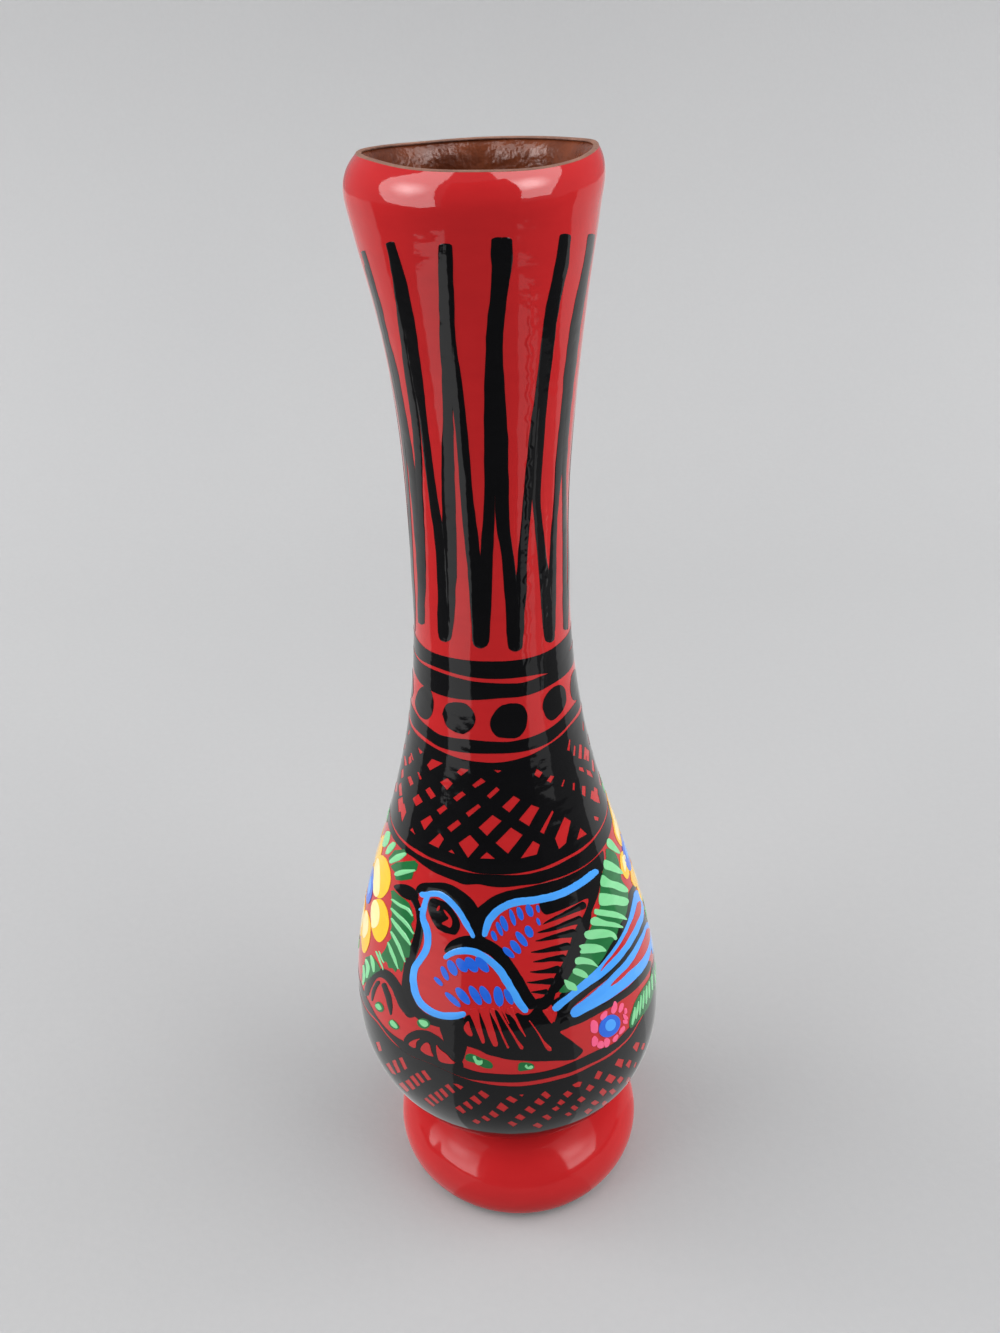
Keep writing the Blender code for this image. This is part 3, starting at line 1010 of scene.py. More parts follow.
# rings below the neck: edges as traced across the front, top to bottom
rings = {
    "collarTop": ((416, 640), (430, 651), (450, 657.5), (470, 660.7), (490, 661.5), (510, 660.8),
                  (530, 657.5), (550, 650), (562, 641)),
    "collarLow": ((416, 655), (420, 659), (430, 664.5), (440, 668.5), (450, 672), (470, 677), (490, 679),
                  (500, 679), (520, 677.3), (530, 675.8), (540, 674), (550, 672.5), (560, 664)),
    "secondTop": ((416, 657), (420, 661.5), (430, 668), (440, 672), (450, 675.5), (470, 680.8), (490, 683),
                  (510, 683.5), (520, 683), (530, 680.5), (540, 676.5), (548, 673.3), (553, 669),
                  (560, 661.5)),
    "secondLow": ((416, 678), (420, 682), (430, 690), (440, 694.5), (450, 697.3), (470, 699.8),
                  (480, 699.8), (500, 698.3), (520, 696.8), (530, 694.5), (540, 690.8), (550, 685.3),
                  (560, 679), (568, 672)),
    "thirdTop": ((412, 705), (416, 713), (420, 719), (430, 728), (440, 734.5), (450, 737), (470, 739.5),
                 (490, 741.5), (500, 742), (510, 741.8), (520, 740), (530, 737.5), (540, 733.5), (550, 728),
                 (560, 720), (570, 709)),
    "thirdLow": ((410, 720), (415, 728), (420, 733), (430, 741), (440, 747), (450, 750), (470, 753),
                 (490, 753.7), (510, 753.3), (520, 752.3), (530, 750.3), (540, 747), (550, 742),
                 (560, 733.5), (570, 722.5)),
    "netTop": ((409, 722), (415, 732), (420, 737.5), (430, 745), (440, 750.5), (450, 755), (460, 758.5),
               (480, 762), (490, 762.8), (500, 762.5), (520, 758.8), (530, 755.5), (540, 750.5), (550, 744),
               (560, 736.5), (570, 725.5)),
    "netLow": ((396, 829), (400, 835), (410, 844.5), (420, 851), (430, 857), (440, 861), (450, 865),
               (460, 868.3), (480, 873.6), (492, 874.3), (505, 874.4), (515, 873.6), (530, 871),
               (540, 868.5), (550, 864.5), (560, 860), (570, 855), (580, 849), (590, 841), (600, 828)),
    "sashTop": ((396, 832), (400, 838), (410, 848), (420, 855), (430, 859.7), (440, 864), (450, 867.5),
                (460, 870.6), (480, 874), (492, 874.5), (505, 874.9), (515, 875), (530, 873.5), (540, 871),
                (550, 868), (560, 863.5), (570, 858), (580, 852.5), (590, 844), (600, 831)),
    "sashLow": ((395, 840), (405, 851), (415, 858), (425, 866), (435, 872.5), (445, 877), (455, 881),
                (462, 884), (480, 884.5), (490, 886.5), (500, 887.3), (510, 886.8), (520, 885.5),
                (540, 883), (550, 880), (560, 877), (570, 873), (580, 868), (590, 861.5), (600, 851.5)),
}
edges = {name: ringEdge(line) for name, line in rings.items()}
bands = darkBrush("neck_bands")
for ring in ("collar", "second", "third", "sash"):
    ringFilm(bands, edges[ring + "Top"], edges[ring + "Low"])
bands.done()

# row of dots
dotRow = {
    "traced": (
        ((415.5, 700), (419, 690), (425, 686), (431, 691), (434, 703), (432, 714), (427, 719.5), (420, 716),
         (416, 708)),
        ((443, 712), (447, 704), (456, 702), (466, 704), (473, 711), (475.5, 719), (472, 728), (464, 733.5),
         (456, 732), (448, 727), (444, 719)),
        ((490, 722), (494, 713), (501, 706), (512, 703.5), (521, 704.5), (526, 710), (527.5, 718), (525, 730),
         (518, 737.5), (508, 738.5), (498, 737), (492, 731)),
        ((542.5, 706), (545, 697), (551, 689), (559, 685), (564, 688), (566, 697), (564.5, 706), (559, 715),
         (552, 720.5), (547, 718), (544, 712)),
        ((570, 684), (572, 674), (575, 669), (578, 675), (579.5, 690), (577, 699), (573, 700), (570.5, 694)),
    ),
    "hidden": (106, 138, 170, 202, 235, 268),
    "level": (144.4, 0.3),
    "size": (8.4, 7.4),
    "vary": (0.92, 1.05),
    "slant": (0, 60),
    "step": 1.6,
}
dots = darkBrush("neck_dots")
for outline in dotRow["traced"]:
    dots.patch(outline, step=dotRow["step"])
for degrees in dotRow["hidden"]:
    length, width = [size * hand.uniform(*dotRow["vary"]) for size in dotRow["size"]]
    slant = hand.uniform(*dotRow["slant"])
    dots.dab(0, 0, length, width, slant, around(degrees, straying(*dotRow["level"])))
dots.done()
print("bands and dots painted")

# upper net: black hatching, with these red gaps left between the strokes
upperNet = {
    "traced": (
        ((427, 765), (432, 758.6), (443, 763), (430, 770.5)),
        ((456.6, 772), (461, 768), (469, 769.6), (461, 776)),
        ((493.5, 770), (501.7, 770.6), (498, 773)),
        ((440, 782), (447.5, 778), (453, 783.4), (447, 790)),
        ((472, 785), (481, 778), (485.7, 781.7), (475, 788)),
        ((425.6, 790), (429.8, 787), (436, 796), (431, 799)),
        ((453, 797.7), (462, 791), (465.7, 794.6), (456.6, 801.5)),
        ((486.6, 796), (496.6, 787), (499.8, 790), (490, 799)),
        ((413, 798.5), (418.7, 793.7), (423, 801.6), (416.5, 806)),
        ((436.8, 810), (444.4, 804.6), (447.5, 808.5), (440, 814.6)),
        ((465.7, 813), (478, 804), (481, 807), (468.7, 817)),
        ((502, 807), (513.8, 796), (520.5, 800), (509.5, 812.7)),
        ((420.8, 821), (430.6, 815), (433, 820), (424.8, 830)),
        ((447, 827.5), (457.8, 819.6), (461, 824), (451, 832)),
        ((478.5, 827.5), (492.6, 815), (501.6, 821), (487, 836)),
        ((519, 820), (531.5, 805), (539.6, 808), (529, 826.4)),
        ((540, 832), (552.4, 810.6), (554, 812), (544, 834)),
        ((555, 838.5), (564.6, 817), (571, 821), (566, 843), (559, 849)),
        ((577, 840), (580.4, 828), (587, 834)),
        ((429, 843), (440, 833), (444, 839), (438.5, 848)),
        ((458.7, 843), (470, 834.7), (479, 845), (468, 858)),
        ((495.7, 843), (511, 827.5), (522.7, 835), (508, 853.7)),
        ((520.7, 858.5), (533, 841), (540, 844.7), (537, 854.5)),
        ((480, 858.5), (486.8, 852), (495, 858.8)),
        ((448.4, 851.6), (451.8, 849.7), (454.9, 854)),
        ((410.5, 829.5), (413, 827.5), (416, 834.7)),
        ((400.6, 807), (405, 803), (407, 812), (402.7, 822)),
        ((408, 777), (411, 775.6), (414, 783.4), (410.5, 786)),
        ((399, 785.6), (402, 782), (403, 795), (400, 796)),
        ((417.4, 772), (419, 772), (422, 778.7), (420, 779.6)),
        ((417.7, 747), (423, 752), (420, 754)),
        ((410.5, 753), (412, 753), (414, 760), (412.5, 760)),
        ((404.4, 756), (405.8, 756), (407.5, 765), (405, 766)),
        ((567, 750), (569, 739), (570.2, 740), (569.5, 751)),
        ((572.7, 755.5), (574, 745), (575.4, 746), (575, 755.5)),
        ((578, 758), (579, 744), (581.5, 745), (581.5, 759)),
        ((586, 760), (586, 748.6), (589, 751), (588.7, 761.5)),
        ((578.7, 766.7), (582.7, 767.5), (584.4, 772), (579, 770)),
        ((586, 769), (590, 770.6), (593, 778), (587, 774.4)),
        ((534.5, 775), (537, 769), (543, 772.7), (539.6, 778)),
        ((547, 781), (551, 775.6), (554.6, 776.5), (551, 783)),
        ((561.5, 786.5), (564, 779.6), (565.2, 780), (563, 787)),
        ((572.7, 790), (573, 783), (575, 783), (574.6, 790.5)),
        ((581.8, 794), (582, 785.6), (585.6, 786), (585.6, 797)),
        ((590.4, 798.5), (591.3, 790), (598, 795), (600, 803.7)),
        ((593.5, 815.8), (598.5, 817.5), (598, 821), (594.5, 820)),
    ),
    "rows": ((134.6, 1.1), (129.6, 1.35), (124.4, 1.65), (118.6, 2.1)),
    "columns": 21,
}
# lower net, same hand
lowerNet = {
    "traced": (
        ((386, 1063.6), (389.4, 1062.3), (396.8, 1074.5), (392, 1073.2)),
        ((392, 1060.8), (395.5, 1059.3), (401, 1071.7), (397.7, 1072.7)),
        ((398.5, 1058), (402.4, 1057), (407.6, 1068), (404.6, 1070)),
        ((399, 1084), (402.9, 1081.8), (409.8, 1090), (406.8, 1091.8)),
        ((405, 1081), (409, 1078.8), (415.9, 1087.9), (412.8, 1089.6)),
        ((409.8, 1076.6), (413.3, 1074.9), (420.6, 1084.7), (417.6, 1086.2)),
        ((414.8, 1073.8), (418, 1072.3), (425, 1081.4), (422.4, 1083.1)),
        ((420.6, 1071), (424.6, 1070), (431.5, 1079.2), (427.8, 1080.5)),
        ((424, 1098.8), (426.7, 1097), (435.4, 1104.8), (433.2, 1106.3)),
        ((427.8, 1095.5), (431, 1093.3), (439.7, 1102), (437, 1103.5)),
        ((433.7, 1092.7), (437, 1090.5), (444, 1099.2), (441.5, 1100.9)),
        ((438.6, 1089.6), (441.9, 1087.5), (448.8, 1095.5), (446.2, 1097.7)),
        ((444.5, 1085.7), (448.4, 1083.6), (455.3, 1091.8), (452.7, 1093.3)),
        ((452.7, 1083.1), (458.2, 1084), (463.6, 1086.8), (460.3, 1089.6)),
        ((454.9, 1107.4), (459.7, 1104.8), (466.2, 1111.8), (463.1, 1113.5)),
        ((462.5, 1103), (466.8, 1100.5), (473.3, 1107.4), (471.2, 1109.6)),
        ((469.4, 1098), (474.4, 1094.8), (482, 1102), (478.8, 1104.8)),
        ((477.7, 1092.7), (481.4, 1090), (489.6, 1095.5), (485.3, 1098.8)),
        ((472, 1121), (475.5, 1118.5), (481, 1121.5), (478, 1124)),
        ((480.9, 1117.2), (484.2, 1115), (490.7, 1119.4), (487.4, 1121.5)),
        ((488.5, 1113.5), (492.2, 1110), (499.3, 1115), (495, 1117.8)),
        ((496, 1107.4), (500.9, 1102), (508.5, 1107.4), (503.7, 1111.8)),
        ((505.4, 1098.8), (510.2, 1095.5), (517.8, 1099.8), (513.4, 1103)),
        ((518.9, 1094.4), (523.9, 1094), (521.7, 1096.6)),
        ((507.4, 1122.6), (511.3, 1120.9), (517.8, 1123.7), (513.4, 1126.5)),
        ((514.5, 1117.2), (519.5, 1113.5), (525.8, 1117.2), (521.7, 1120.4)),
        ((524.3, 1109.6), (529, 1105.7), (536.2, 1110), (531.4, 1113.5)),
        ((533.6, 1102), (538.4, 1097.7), (544.9, 1102), (540.5, 1105.3)),
        ((540.5, 1094.4), (545.3, 1090.7), (551, 1095.5), (547, 1098.8)),
        ((532.3, 1125.2), (537.3, 1122.2), (543.1, 1125.2), (539.5, 1128)),
        ((541.6, 1116.5), (547, 1114), (552, 1117.2), (548.1, 1120)),
        ((551.4, 1108.5), (556.8, 1105.7), (560, 1108.5), (555.7, 1111)),
        ((556.8, 1103), (560.7, 1098.8), (565.5, 1102), (561.1, 1105.3)),
        ((562.9, 1094), (567.6, 1090.5), (573, 1093.3), (567.6, 1097.7)),
        ((572, 1084.7), (578.5, 1081.4), (582.2, 1081.8), (580.2, 1086.8), (575.2, 1087.3)),
        ((564.4, 1113.9), (568.7, 1111.8), (572.4, 1113.9), (568, 1116)),
        ((570.2, 1107.4), (574.1, 1104.6), (578.5, 1107.4), (574.6, 1110.7)),
        ((576.7, 1099.8), (581.7, 1095.9), (586, 1098.8), (581, 1102.4)),
        ((585.6, 1089), (589.3, 1084), (594.7, 1086.8), (589.8, 1091.8)),
        ((594, 1078.2), (598, 1070.6), (603, 1072.3), (599, 1079.7)),
        ((583.9, 1111.3), (588.2, 1107.9), (592.6, 1109.6), (587.8, 1114.4)),
        ((590.4, 1103), (594.7, 1099.8), (599.5, 1102), (594.7, 1105.3)),
        ((599, 1092.2), (602.8, 1087.9), (607, 1091.2), (602.8, 1096.2)),
        ((604.9, 1080.3), (609.5, 1073.8), (616.4, 1077), (611.4, 1083.6)),
        ((614.9, 1065), (618.6, 1058.6), (624.4, 1059.7), (621.8, 1068)),
        ((601.5, 1103), (604.5, 1100), (607.5, 1102.5), (604, 1106)),
        ((608.8, 1091.2), (612.7, 1088.3), (616.4, 1091.2), (612, 1094.8)),
        ((617, 1080.3), (620.8, 1076), (624, 1078.2), (619.7, 1084)),
        ((625.7, 1065), (629.4, 1059.7), (632, 1060.8), (629.4, 1068.4)),
        ((633, 1047.8), (636, 1042.4), (640.3, 1042.8), (637, 1052)),
        ((375.8, 1042), (379.5, 1041.3), (382.3, 1050.6), (379, 1051)),
        ((641, 1049), (643, 1043.5), (645.5, 1043), (643.5, 1050)),
        ((633.5, 1067), (635.5, 1062), (637, 1062.5), (635, 1068)),
        ((625.5, 1082), (628, 1077), (630.5, 1078), (628.5, 1083)),
    ),
    "rows": ((46.0, 1.3), (41.6, 1.35), (37.4, 1.3), (33.4, 1.2), (29.8, 1.05), (26.8, 0.9)),
    "columns": 30,
    "top": ((366, 996), (370, 1004), (376, 1015), (384, 1026), (390, 1032), (398, 1038), (405, 1042),
            (410, 1046), (421, 1050), (433, 1056.5), (448, 1063.5), (463, 1067), (472, 1070), (480, 1072),
            (490, 1073), (505, 1074), (520, 1074), (540, 1072), (560, 1067), (575, 1061), (583, 1057.5),
            (590, 1054), (600, 1049.5), (610, 1045.5), (616, 1042), (622, 1035.5), (630, 1027),
            (640, 1016)),
    "lineTop": ((368, 1010.5), (372, 1015), (378, 1021.5), (388, 1035), (394, 1041.6), (400, 1048),
                (410, 1055), (430, 1063), (450, 1072), (470, 1079), (480, 1080.3), (500, 1082), (520, 1082),
                (540, 1079.5), (560, 1075), (570, 1072.5), (580, 1068.5), (590, 1064), (600, 1059.5),
                (610, 1053.5), (620, 1046), (630, 1036), (640, 1019.5)),
    "lineLow": ((368, 1012.5), (372, 1017.2), (378, 1024), (388, 1037), (394, 1043.2), (400, 1048.3),
                (410, 1055.3), (430, 1063.3), (450, 1072.3), (470, 1080), (480, 1082.5), (500, 1085.5),
                (520, 1086), (540, 1083.5), (560, 1079), (570, 1076), (580, 1072), (590, 1067), (600, 1062),
                (610, 1056.5), (620, 1048.5), (630, 1038.5), (640, 1022)),
    "foot": 23.7,
}


# how the nets' gaps are drawn, in pixels in front and in mm behind
netHand = {
    "step": 2.5,
    "wild": 0.12,
    "clear": 66,            # the traced gaps reach this far to either side
    "wide": (0.75, 1.15),
    "tall": (0.75, 1.1),
    "skew": (0.1, 0.5),
    "strayTurn": 1.2,
    "strayLevel": 0.4,
    "hiddenStep": 0.7,
    "hiddenWild": 0.05,
}


def tracedGaps(outlines):
    return [loop(o, fromPhoto, netHand["step"], True, netHand["wild"]) for o in outlines]


def hiddenGaps(net):
    # crossed strokes behind: bare diamonds in staggered rows
    made = []
    for row, (level, size) in enumerate(net["rows"]):
        for column in range(net["columns"]):
            degrees = (column + 0.5 * (row % 2)) * 360 / net["columns"] - 180
            if abs(degrees) < netHand["clear"]:
                continue
            wide, tall = [size * hand.uniform(*netHand[k]) for k in ("wide", "tall")]
            skew = hand.uniform(*netHand["skew"])
            outline = ((-wide, -skew), (skew, tall), (wide, skew), (-skew, -tall))
            turn = straying(degrees, netHand["strayTurn"])
            spot = around(turn, straying(level, netHand["strayLevel"]))
            made.append(loop(outline, spot, netHand["hiddenStep"], True, netHand["hiddenWild"]))
    return made


net = darkBrush("upper_net")
ringWithGaps(net, edges["netTop"], edges["netLow"], tracedGaps(upperNet["traced"]) + hiddenGaps(upperNet))
net.done()
net = darkBrush("lower_net")
beltTop, lineTop, lineLow = [ringEdge(lowerNet[k]) for k in ("top", "lineTop", "lineLow")]
ringFilm(net, beltTop, lineTop)
footEdge = curveThrough([(d, lowerNet["foot"]) for d in range(-180, 180, 30)], 360)
ringWithGaps(net, lineLow, footEdge, tracedGaps(lowerNet["traced"]) + hiddenGaps(lowerNet))
net.done()
print("nets hatched")

# strokes set out in mm on the hidden sides: spacing of points, waver
fineStep = 0.8
smallStep = 0.6
fineWild = 0.06

# the bird and its ground: dark shapes first, colours over them
birdDark = {
    "underEndAt": (85, 61.5),
    "underEnd": ((-9, 4.4, 4), (-3, 1.6, 4.2), (1, -0.3, 4), (4, -1.8, 2.6), (7, -3.4, 0.8)),
    "strokes": (
        ((413, 896, 8), (418, 908, 6), (420, 922, 7), (418, 938, 9), (413, 953, 9), (409, 965, 9),
         (407, 978, 9), (407, 992, 11), (410, 1003, 11), (417, 1012, 10), (428, 1019, 9), (445, 1022, 10),
         (464, 1018, 8)),
        ((418, 893, 6), (422, 888, 9), (432, 887, 9), (445, 888.5, 11), (456, 895, 13), (466, 904, 15),
         (473, 916, 16), (478, 928, 14), (481, 940, 11)),
        ((445, 952, 4), (452, 946, 9), (462, 942.5, 12), (475, 942.5, 13), (488, 947, 13), (499, 955, 13),
         (508, 967, 13), (517, 981, 13), (526, 996, 12), (535, 1008, 12)),
        ((586, 904, 9), (575, 909, 6.5), (560, 916, 4.5), (548, 921.5, 2.5), (543, 924.3, 0.8)),
        ((583, 919, 9), (570, 922.5, 6.5), (555, 928, 4.5), (543, 931.5, 2.5), (537.5, 932.7, 0.8)),
        ((577, 932.5, 9), (562, 935, 6), (548, 938.5, 4), (540, 940.5, 2), (535.5, 941, 0.8)),
        ((571, 946, 9), (556, 948.5, 6), (543, 951, 4), (531, 952.5, 0.8)),
        ((566, 957.5, 8), (552, 959, 5), (541, 961, 3), (533, 962, 0.8)),
        ((561, 969, 9), (548, 971, 5), (538, 972, 3), (530, 972, 0.8)),
        ((555, 981, 8), (542, 982, 4.5), (533, 982.5, 2.5), (527, 982.3, 0.8)),
        ((548, 991.5, 7), (540, 992, 4), (531, 992, 0.8)),
        ((562, 1012, 9), (570, 1004.5, 8), (577, 998.5, 8), (585, 991.5, 8), (595, 984.5, 7), (605, 976.5, 7),
         (615, 967.5, 7), (624, 957.5, 7), (632, 947.5, 6), (638, 936.5, 6), (643.5, 924, 5), (646, 914, 3)),
        ((560, 998, 5), (570, 989, 7), (585, 976, 8), (597, 965, 8), (608, 952, 9), (617, 938, 9),
         (624, 923, 9), (629, 907, 8), (632.5, 893, 6), (636, 884, 3)),
        ((560, 1024, 13), (580, 1018.5, 9), (590, 1014, 8), (600, 1009, 7), (610, 1003.5, 7), (620, 997, 7),
         (628, 991.5, 7), (637, 983, 7), (645, 972, 7), (650, 961, 5)),
    ),
    "shapes": (
        ((394, 886), (399, 884), (408, 885), (417, 891), (418, 899), (410, 900), (403, 897), (398, 892)),
        ((476, 910), (484, 903), (493, 896.5), (505, 891.5), (515, 889.5), (530, 886.3), (548, 882),
         (560, 878.5), (570, 874.5), (580, 869.5), (590, 863), (600, 853.5), (603, 851), (604, 862),
         (601, 873), (590, 879), (575, 887), (555, 895), (535, 900), (515, 903), (502, 909), (493, 920),
         (487, 932), (483, 943), (474, 937), (470, 922)),
        ((541, 901), (560, 893), (580, 883), (598, 872), (602, 873), (600, 885), (598, 895), (593, 908),
         (588, 922), (582, 936), (577, 948), (573, 960), (567, 973), (560, 985), (556, 992), (552, 1003),
         (541, 1011), (531, 1006), (536, 999), (543, 997), (549, 988), (555, 976), (562, 964), (567, 953),
         (571, 941), (576, 927.5), (584, 914.5), (588, 899), (575, 904), (563, 909), (551, 913.5),
         (545, 914.5), (541, 910)),
        ((441, 1022), (463, 1020), (468, 1036), (467, 1047), (462, 1062), (455, 1060), (449, 1050),
         (443, 1038)),
        ((464, 1019), (468, 1014.5), (472, 1015), (479, 1012.5), (484, 1014), (489, 1011.5), (492, 1013),
         (495.5, 1009.5), (499, 1012), (503, 1011.5), (508, 1014), (514, 1015), (517, 1012.5),
         (523, 1014.5), (529, 1014), (535, 1008), (541, 1008), (548, 1018), (556, 1022), (566, 1018),
         (575, 1022), (568, 1028), (560, 1032), (568, 1038), (577, 1045), (583, 1050.5), (578, 1057),
         (570, 1060), (545, 1061), (525, 1060.5), (508, 1059), (497, 1056.5), (488, 1054), (480, 1050),
         (472, 1047), (467, 1045), (463, 1034)),
        ((404, 1042), (406, 1036), (411, 1032), (418, 1030), (427, 1030.5), (436, 1034.5), (443, 1040),
         (450, 1047), (458, 1056), (463, 1063), (463, 1068), (455, 1067), (440, 1063), (425, 1057),
         (412, 1050)),
        ((395, 980), (405, 990), (412, 985), (413, 1000), (420, 1010), (416, 1016), (408, 1017),
         (402, 1008), (398, 995)),
        ((432, 898), (440, 900), (447, 903), (453, 910), (458, 918), (460, 925), (459, 930), (455.5, 934.5),
         (450, 934), (443, 932), (437, 928), (433, 922), (430, 915), (428, 908), (429, 902)),
        ((551, 1003), (560, 996), (570, 987), (578, 979), (584, 984), (576, 1000), (572, 1006), (571, 1014),
         (576, 1019), (586, 1016), (578, 1022), (562, 1027), (553, 1029), (556, 1018), (557, 1012)),
        ((582, 919), (587, 911), (591, 912), (590, 925), (586, 940), (581, 955), (578, 967), (571, 979),
         (563, 987), (556, 993), (553, 990), (563, 972), (572, 948)),
    ),
    "curls": (
        ((366, 996, 5), (369, 984, 7), (375, 975, 8), (383, 973, 9), (391, 979, 10), (398, 990, 10),
         (403, 1003, 10), (410, 1013, 9)),
        ((383, 983, 5), (388, 996, 6), (390, 1006, 5), (391, 1015, 2)),
        ((379, 981, 4), (374, 990, 4), (372, 1001, 2)),
    ),
}
dark = darkBrush("bird_dark_brushwork")
for path in birdDark["strokes"] + birdDark["curls"]:
    dark.stroke(path)
for outline in birdDark["shapes"]:
    dark.patch(outline)
dark.stroke(birdDark["underEnd"], around(*birdDark["underEndAt"]), fineStep, fineWild)
dark.done()

birdBlue = {
    "lines": (
        ((420, 893, 5), (425, 895, 6), (432, 893.5, 6), (440, 894.5, 6), (447, 899, 6), (455, 907, 6),
         (461, 915, 6), (466, 924, 6), (471, 932, 5), (474, 938, 4)),
        ((429, 895, 4), (426, 900, 5.5), (424, 908, 6), (423, 918, 6), (427, 930, 7), (428, 940, 7),
         (426, 950, 7), (420, 960, 7), (415, 968, 7), (413.5, 978, 7), (415, 990, 7), (419, 1000, 7),
         (425, 1007, 7), (435, 1013, 7), (446, 1015.5, 7), (458, 1015, 7), (466, 1013, 5)),
        ((425, 907, 4), (419, 910, 2)),
        ((484, 937, 5), (486, 929, 7), (490.7, 918, 8), (501.4, 908, 8), (515.7, 902, 8), (533.6, 900, 8),
         (551.4, 896.4, 8), (565.7, 891, 8), (580, 883, 8), (590.7, 875, 8), (598, 870.5, 6)),
        ((444, 958, 5), (452, 953, 6), (460, 951, 7), (470, 951, 7), (480, 954.5, 7), (490, 961, 7),
         (499, 969.5, 8), (506, 980, 8), (512, 990, 8), (519, 1002, 8), (527, 1012, 6)),
    ),
    "tail": (
        ((552, 1008), (556, 1003), (570, 992), (580, 983), (588, 976), (597, 968), (604, 960), (611, 951),
         (618, 941), (624, 930), (629, 917), (632, 905), (634, 893), (637, 890), (639, 893), (641.5, 900),
         (643.5, 908), (643.5, 918), (641.5, 925), (637.5, 934), (632.5, 943), (625.5, 953), (617.5, 963),
         (608.5, 971.5), (599.5, 979), (590.5, 985), (580, 992.5), (570, 1000.5), (557, 1011)),
        ((570, 1013), (572, 1008.5), (576, 1005), (583, 1000.5), (590, 995), (598, 988), (607, 980),
         (615, 971.5), (624, 962), (631, 952.5), (636, 944), (641, 935), (644.8, 926), (647.3, 922),
         (649.3, 927), (650.8, 935), (651.3, 944), (649.8, 954), (646, 965), (640, 974), (630, 984),
         (620, 992), (610, 999), (600, 1004.5), (590, 1010), (583, 1013.5), (576, 1017), (572, 1016.5)),
    ),
    "tailEndAt": (90, 67.3),
    "tailEnd": ((-6, 2.7, 5.5), (-1, 0.6, 6.2), (3, -1.2, 5), (6.5, -2.8, 3), (8.5, -3.7, 1.4)),
    "tailRed": (
        ((600.5, 971), (605, 963), (612, 955), (620, 944), (626, 934), (631, 923), (635, 912), (637.5, 903),
         (640, 901), (641, 905), (640.5, 914), (637, 922), (631, 934), (624, 945), (617, 953.5),
         (609, 962)),
        ((611, 986), (613, 982), (620, 975), (628, 967), (635, 957), (640, 947), (644, 937), (646.5, 929),
         (649, 928), (649.8, 932), (649.5, 940), (647, 949), (643, 957), (637, 964), (629, 971),
         (621, 979)),
        ((542.5, 1010), (549, 1010.5), (552, 1013.5), (554.5, 1015), (553, 1020), (551.5, 1023), (547, 1017)),
        ((409, 1044), (413, 1040.5), (420, 1038.5), (417, 1041.5), (415.5, 1047.5)),
        ((421, 1049), (424, 1043.5), (428, 1042.5), (430, 1045), (432, 1052), (433.5, 1056), (426, 1053.5)),
        ((436.5, 1045), (440, 1049), (447, 1054), (451, 1059), (455, 1062.5), (448, 1063), (439, 1059.5)),
        ((464, 1027), (466, 1022.5), (469, 1020.5), (470.5, 1027), (473, 1034), (471, 1035.5), (467, 1033)),
        ((470, 1009), (478, 1009), (480, 1020), (483, 1032), (485, 1040.5), (484, 1042.5), (482, 1042),
         (479, 1035), (474, 1022), (470.5, 1014)),
        ((480, 1008), (488, 1008), (491, 1019), (495, 1032), (498, 1043), (496.5, 1045.5), (493.5, 1045),
         (489.5, 1037), (485, 1024), (481, 1014)),
        ((444, 910), (446.5, 911.5), (450, 915.5), (452, 920), (452, 925), (450, 927.5), (446, 925.5),
         (442, 923), (448, 919.5), (449, 918), (446, 914)),
        ((437, 910), (438, 907), (439.5, 905.5), (440, 907.5), (438.5, 911)),
    ),
    "dabs": (
        (494, 936, 11, 5, 65), (499.5, 929, 15, 5, 68), (504, 923.5, 16.5, 6.5, 68),
        (512.5, 917.5, 17, 5, 73), (520, 913.5, 14, 6, 72), (529.5, 910.5, 13, 7, 70),
        (537.8, 908.5, 8, 3.6, 80), (538.3, 921.5, 8, 3.4, 70), (529, 931.5, 12.5, 8, 65),
        (521.5, 939, 18, 7, 52), (515.5, 947, 16, 7.5, 53), (508.5, 952.5, 15, 6, 42),
        (438.7, 981, 12, 4.2, 45), (445, 973, 15.5, 5.5, 65), (452.5, 967.5, 17, 8, 62),
        (462, 965, 16, 8.5, 52), (471.5, 964.5, 18, 9.5, 50), (482.3, 964.5, 19, 8.5, 48),
        (453, 999, 21, 5.5, 43), (463, 995.5, 21, 8, 50), (475.5, 995, 22, 8, 58),
        (485.5, 994.5, 20, 8.5, 60), (498.5, 996, 20, 9.5, 80), (508.5, 996.5, 17, 6.5, 63),
    ),
    "fringe": (
        ((491.5, 1008, 5.5), (494, 1015, 3.6), (498, 1024, 2.4), (502, 1034, 1.8), (506, 1043, 2),
         (508.5, 1047.5, 2.4)),
        ((498, 1007, 4), (502, 1015, 2.4), (507, 1024, 2), (513, 1034, 2.4), (518, 1042, 2.6),
         (522.5, 1048.5, 4)),
        ((501, 1007, 3), (505, 1015, 1.4), (509, 1023, 1)),
        ((509, 1007, 9), (512, 1013, 5), (516, 1019, 3), (520, 1027, 2.6), (525.5, 1036, 1)),
        ((529, 1020, 1), (537, 1031, 1.4), (543, 1041, 2.2), (548, 1047.5, 4.5), (551, 1050, 4)),
    ),
}
sky = Brush("bird_sky_blue_lines", "blue", layers["colour"])
for path in birdBlue["lines"]:
    sky.stroke(path)
sky.stroke(birdBlue["tailEnd"], around(*birdBlue["tailEndAt"]), fineStep, fineWild)
for outline in birdBlue["tail"]:
    sky.patch(outline)
sky.done()
deep = Brush("bird_deep_blue_dabs", "deepBlue", layers["colour"])
for press in birdBlue["dabs"]:
    deep.dab(*press)
deep.done()
touch = Brush("bird_red_touches", "red", layers["redTouch"], "red_enamel")
for outline in birdBlue["tailRed"]:
    touch.patch(outline)
for path in birdBlue["fringe"]:
    touch.stroke(path)
touch.done()
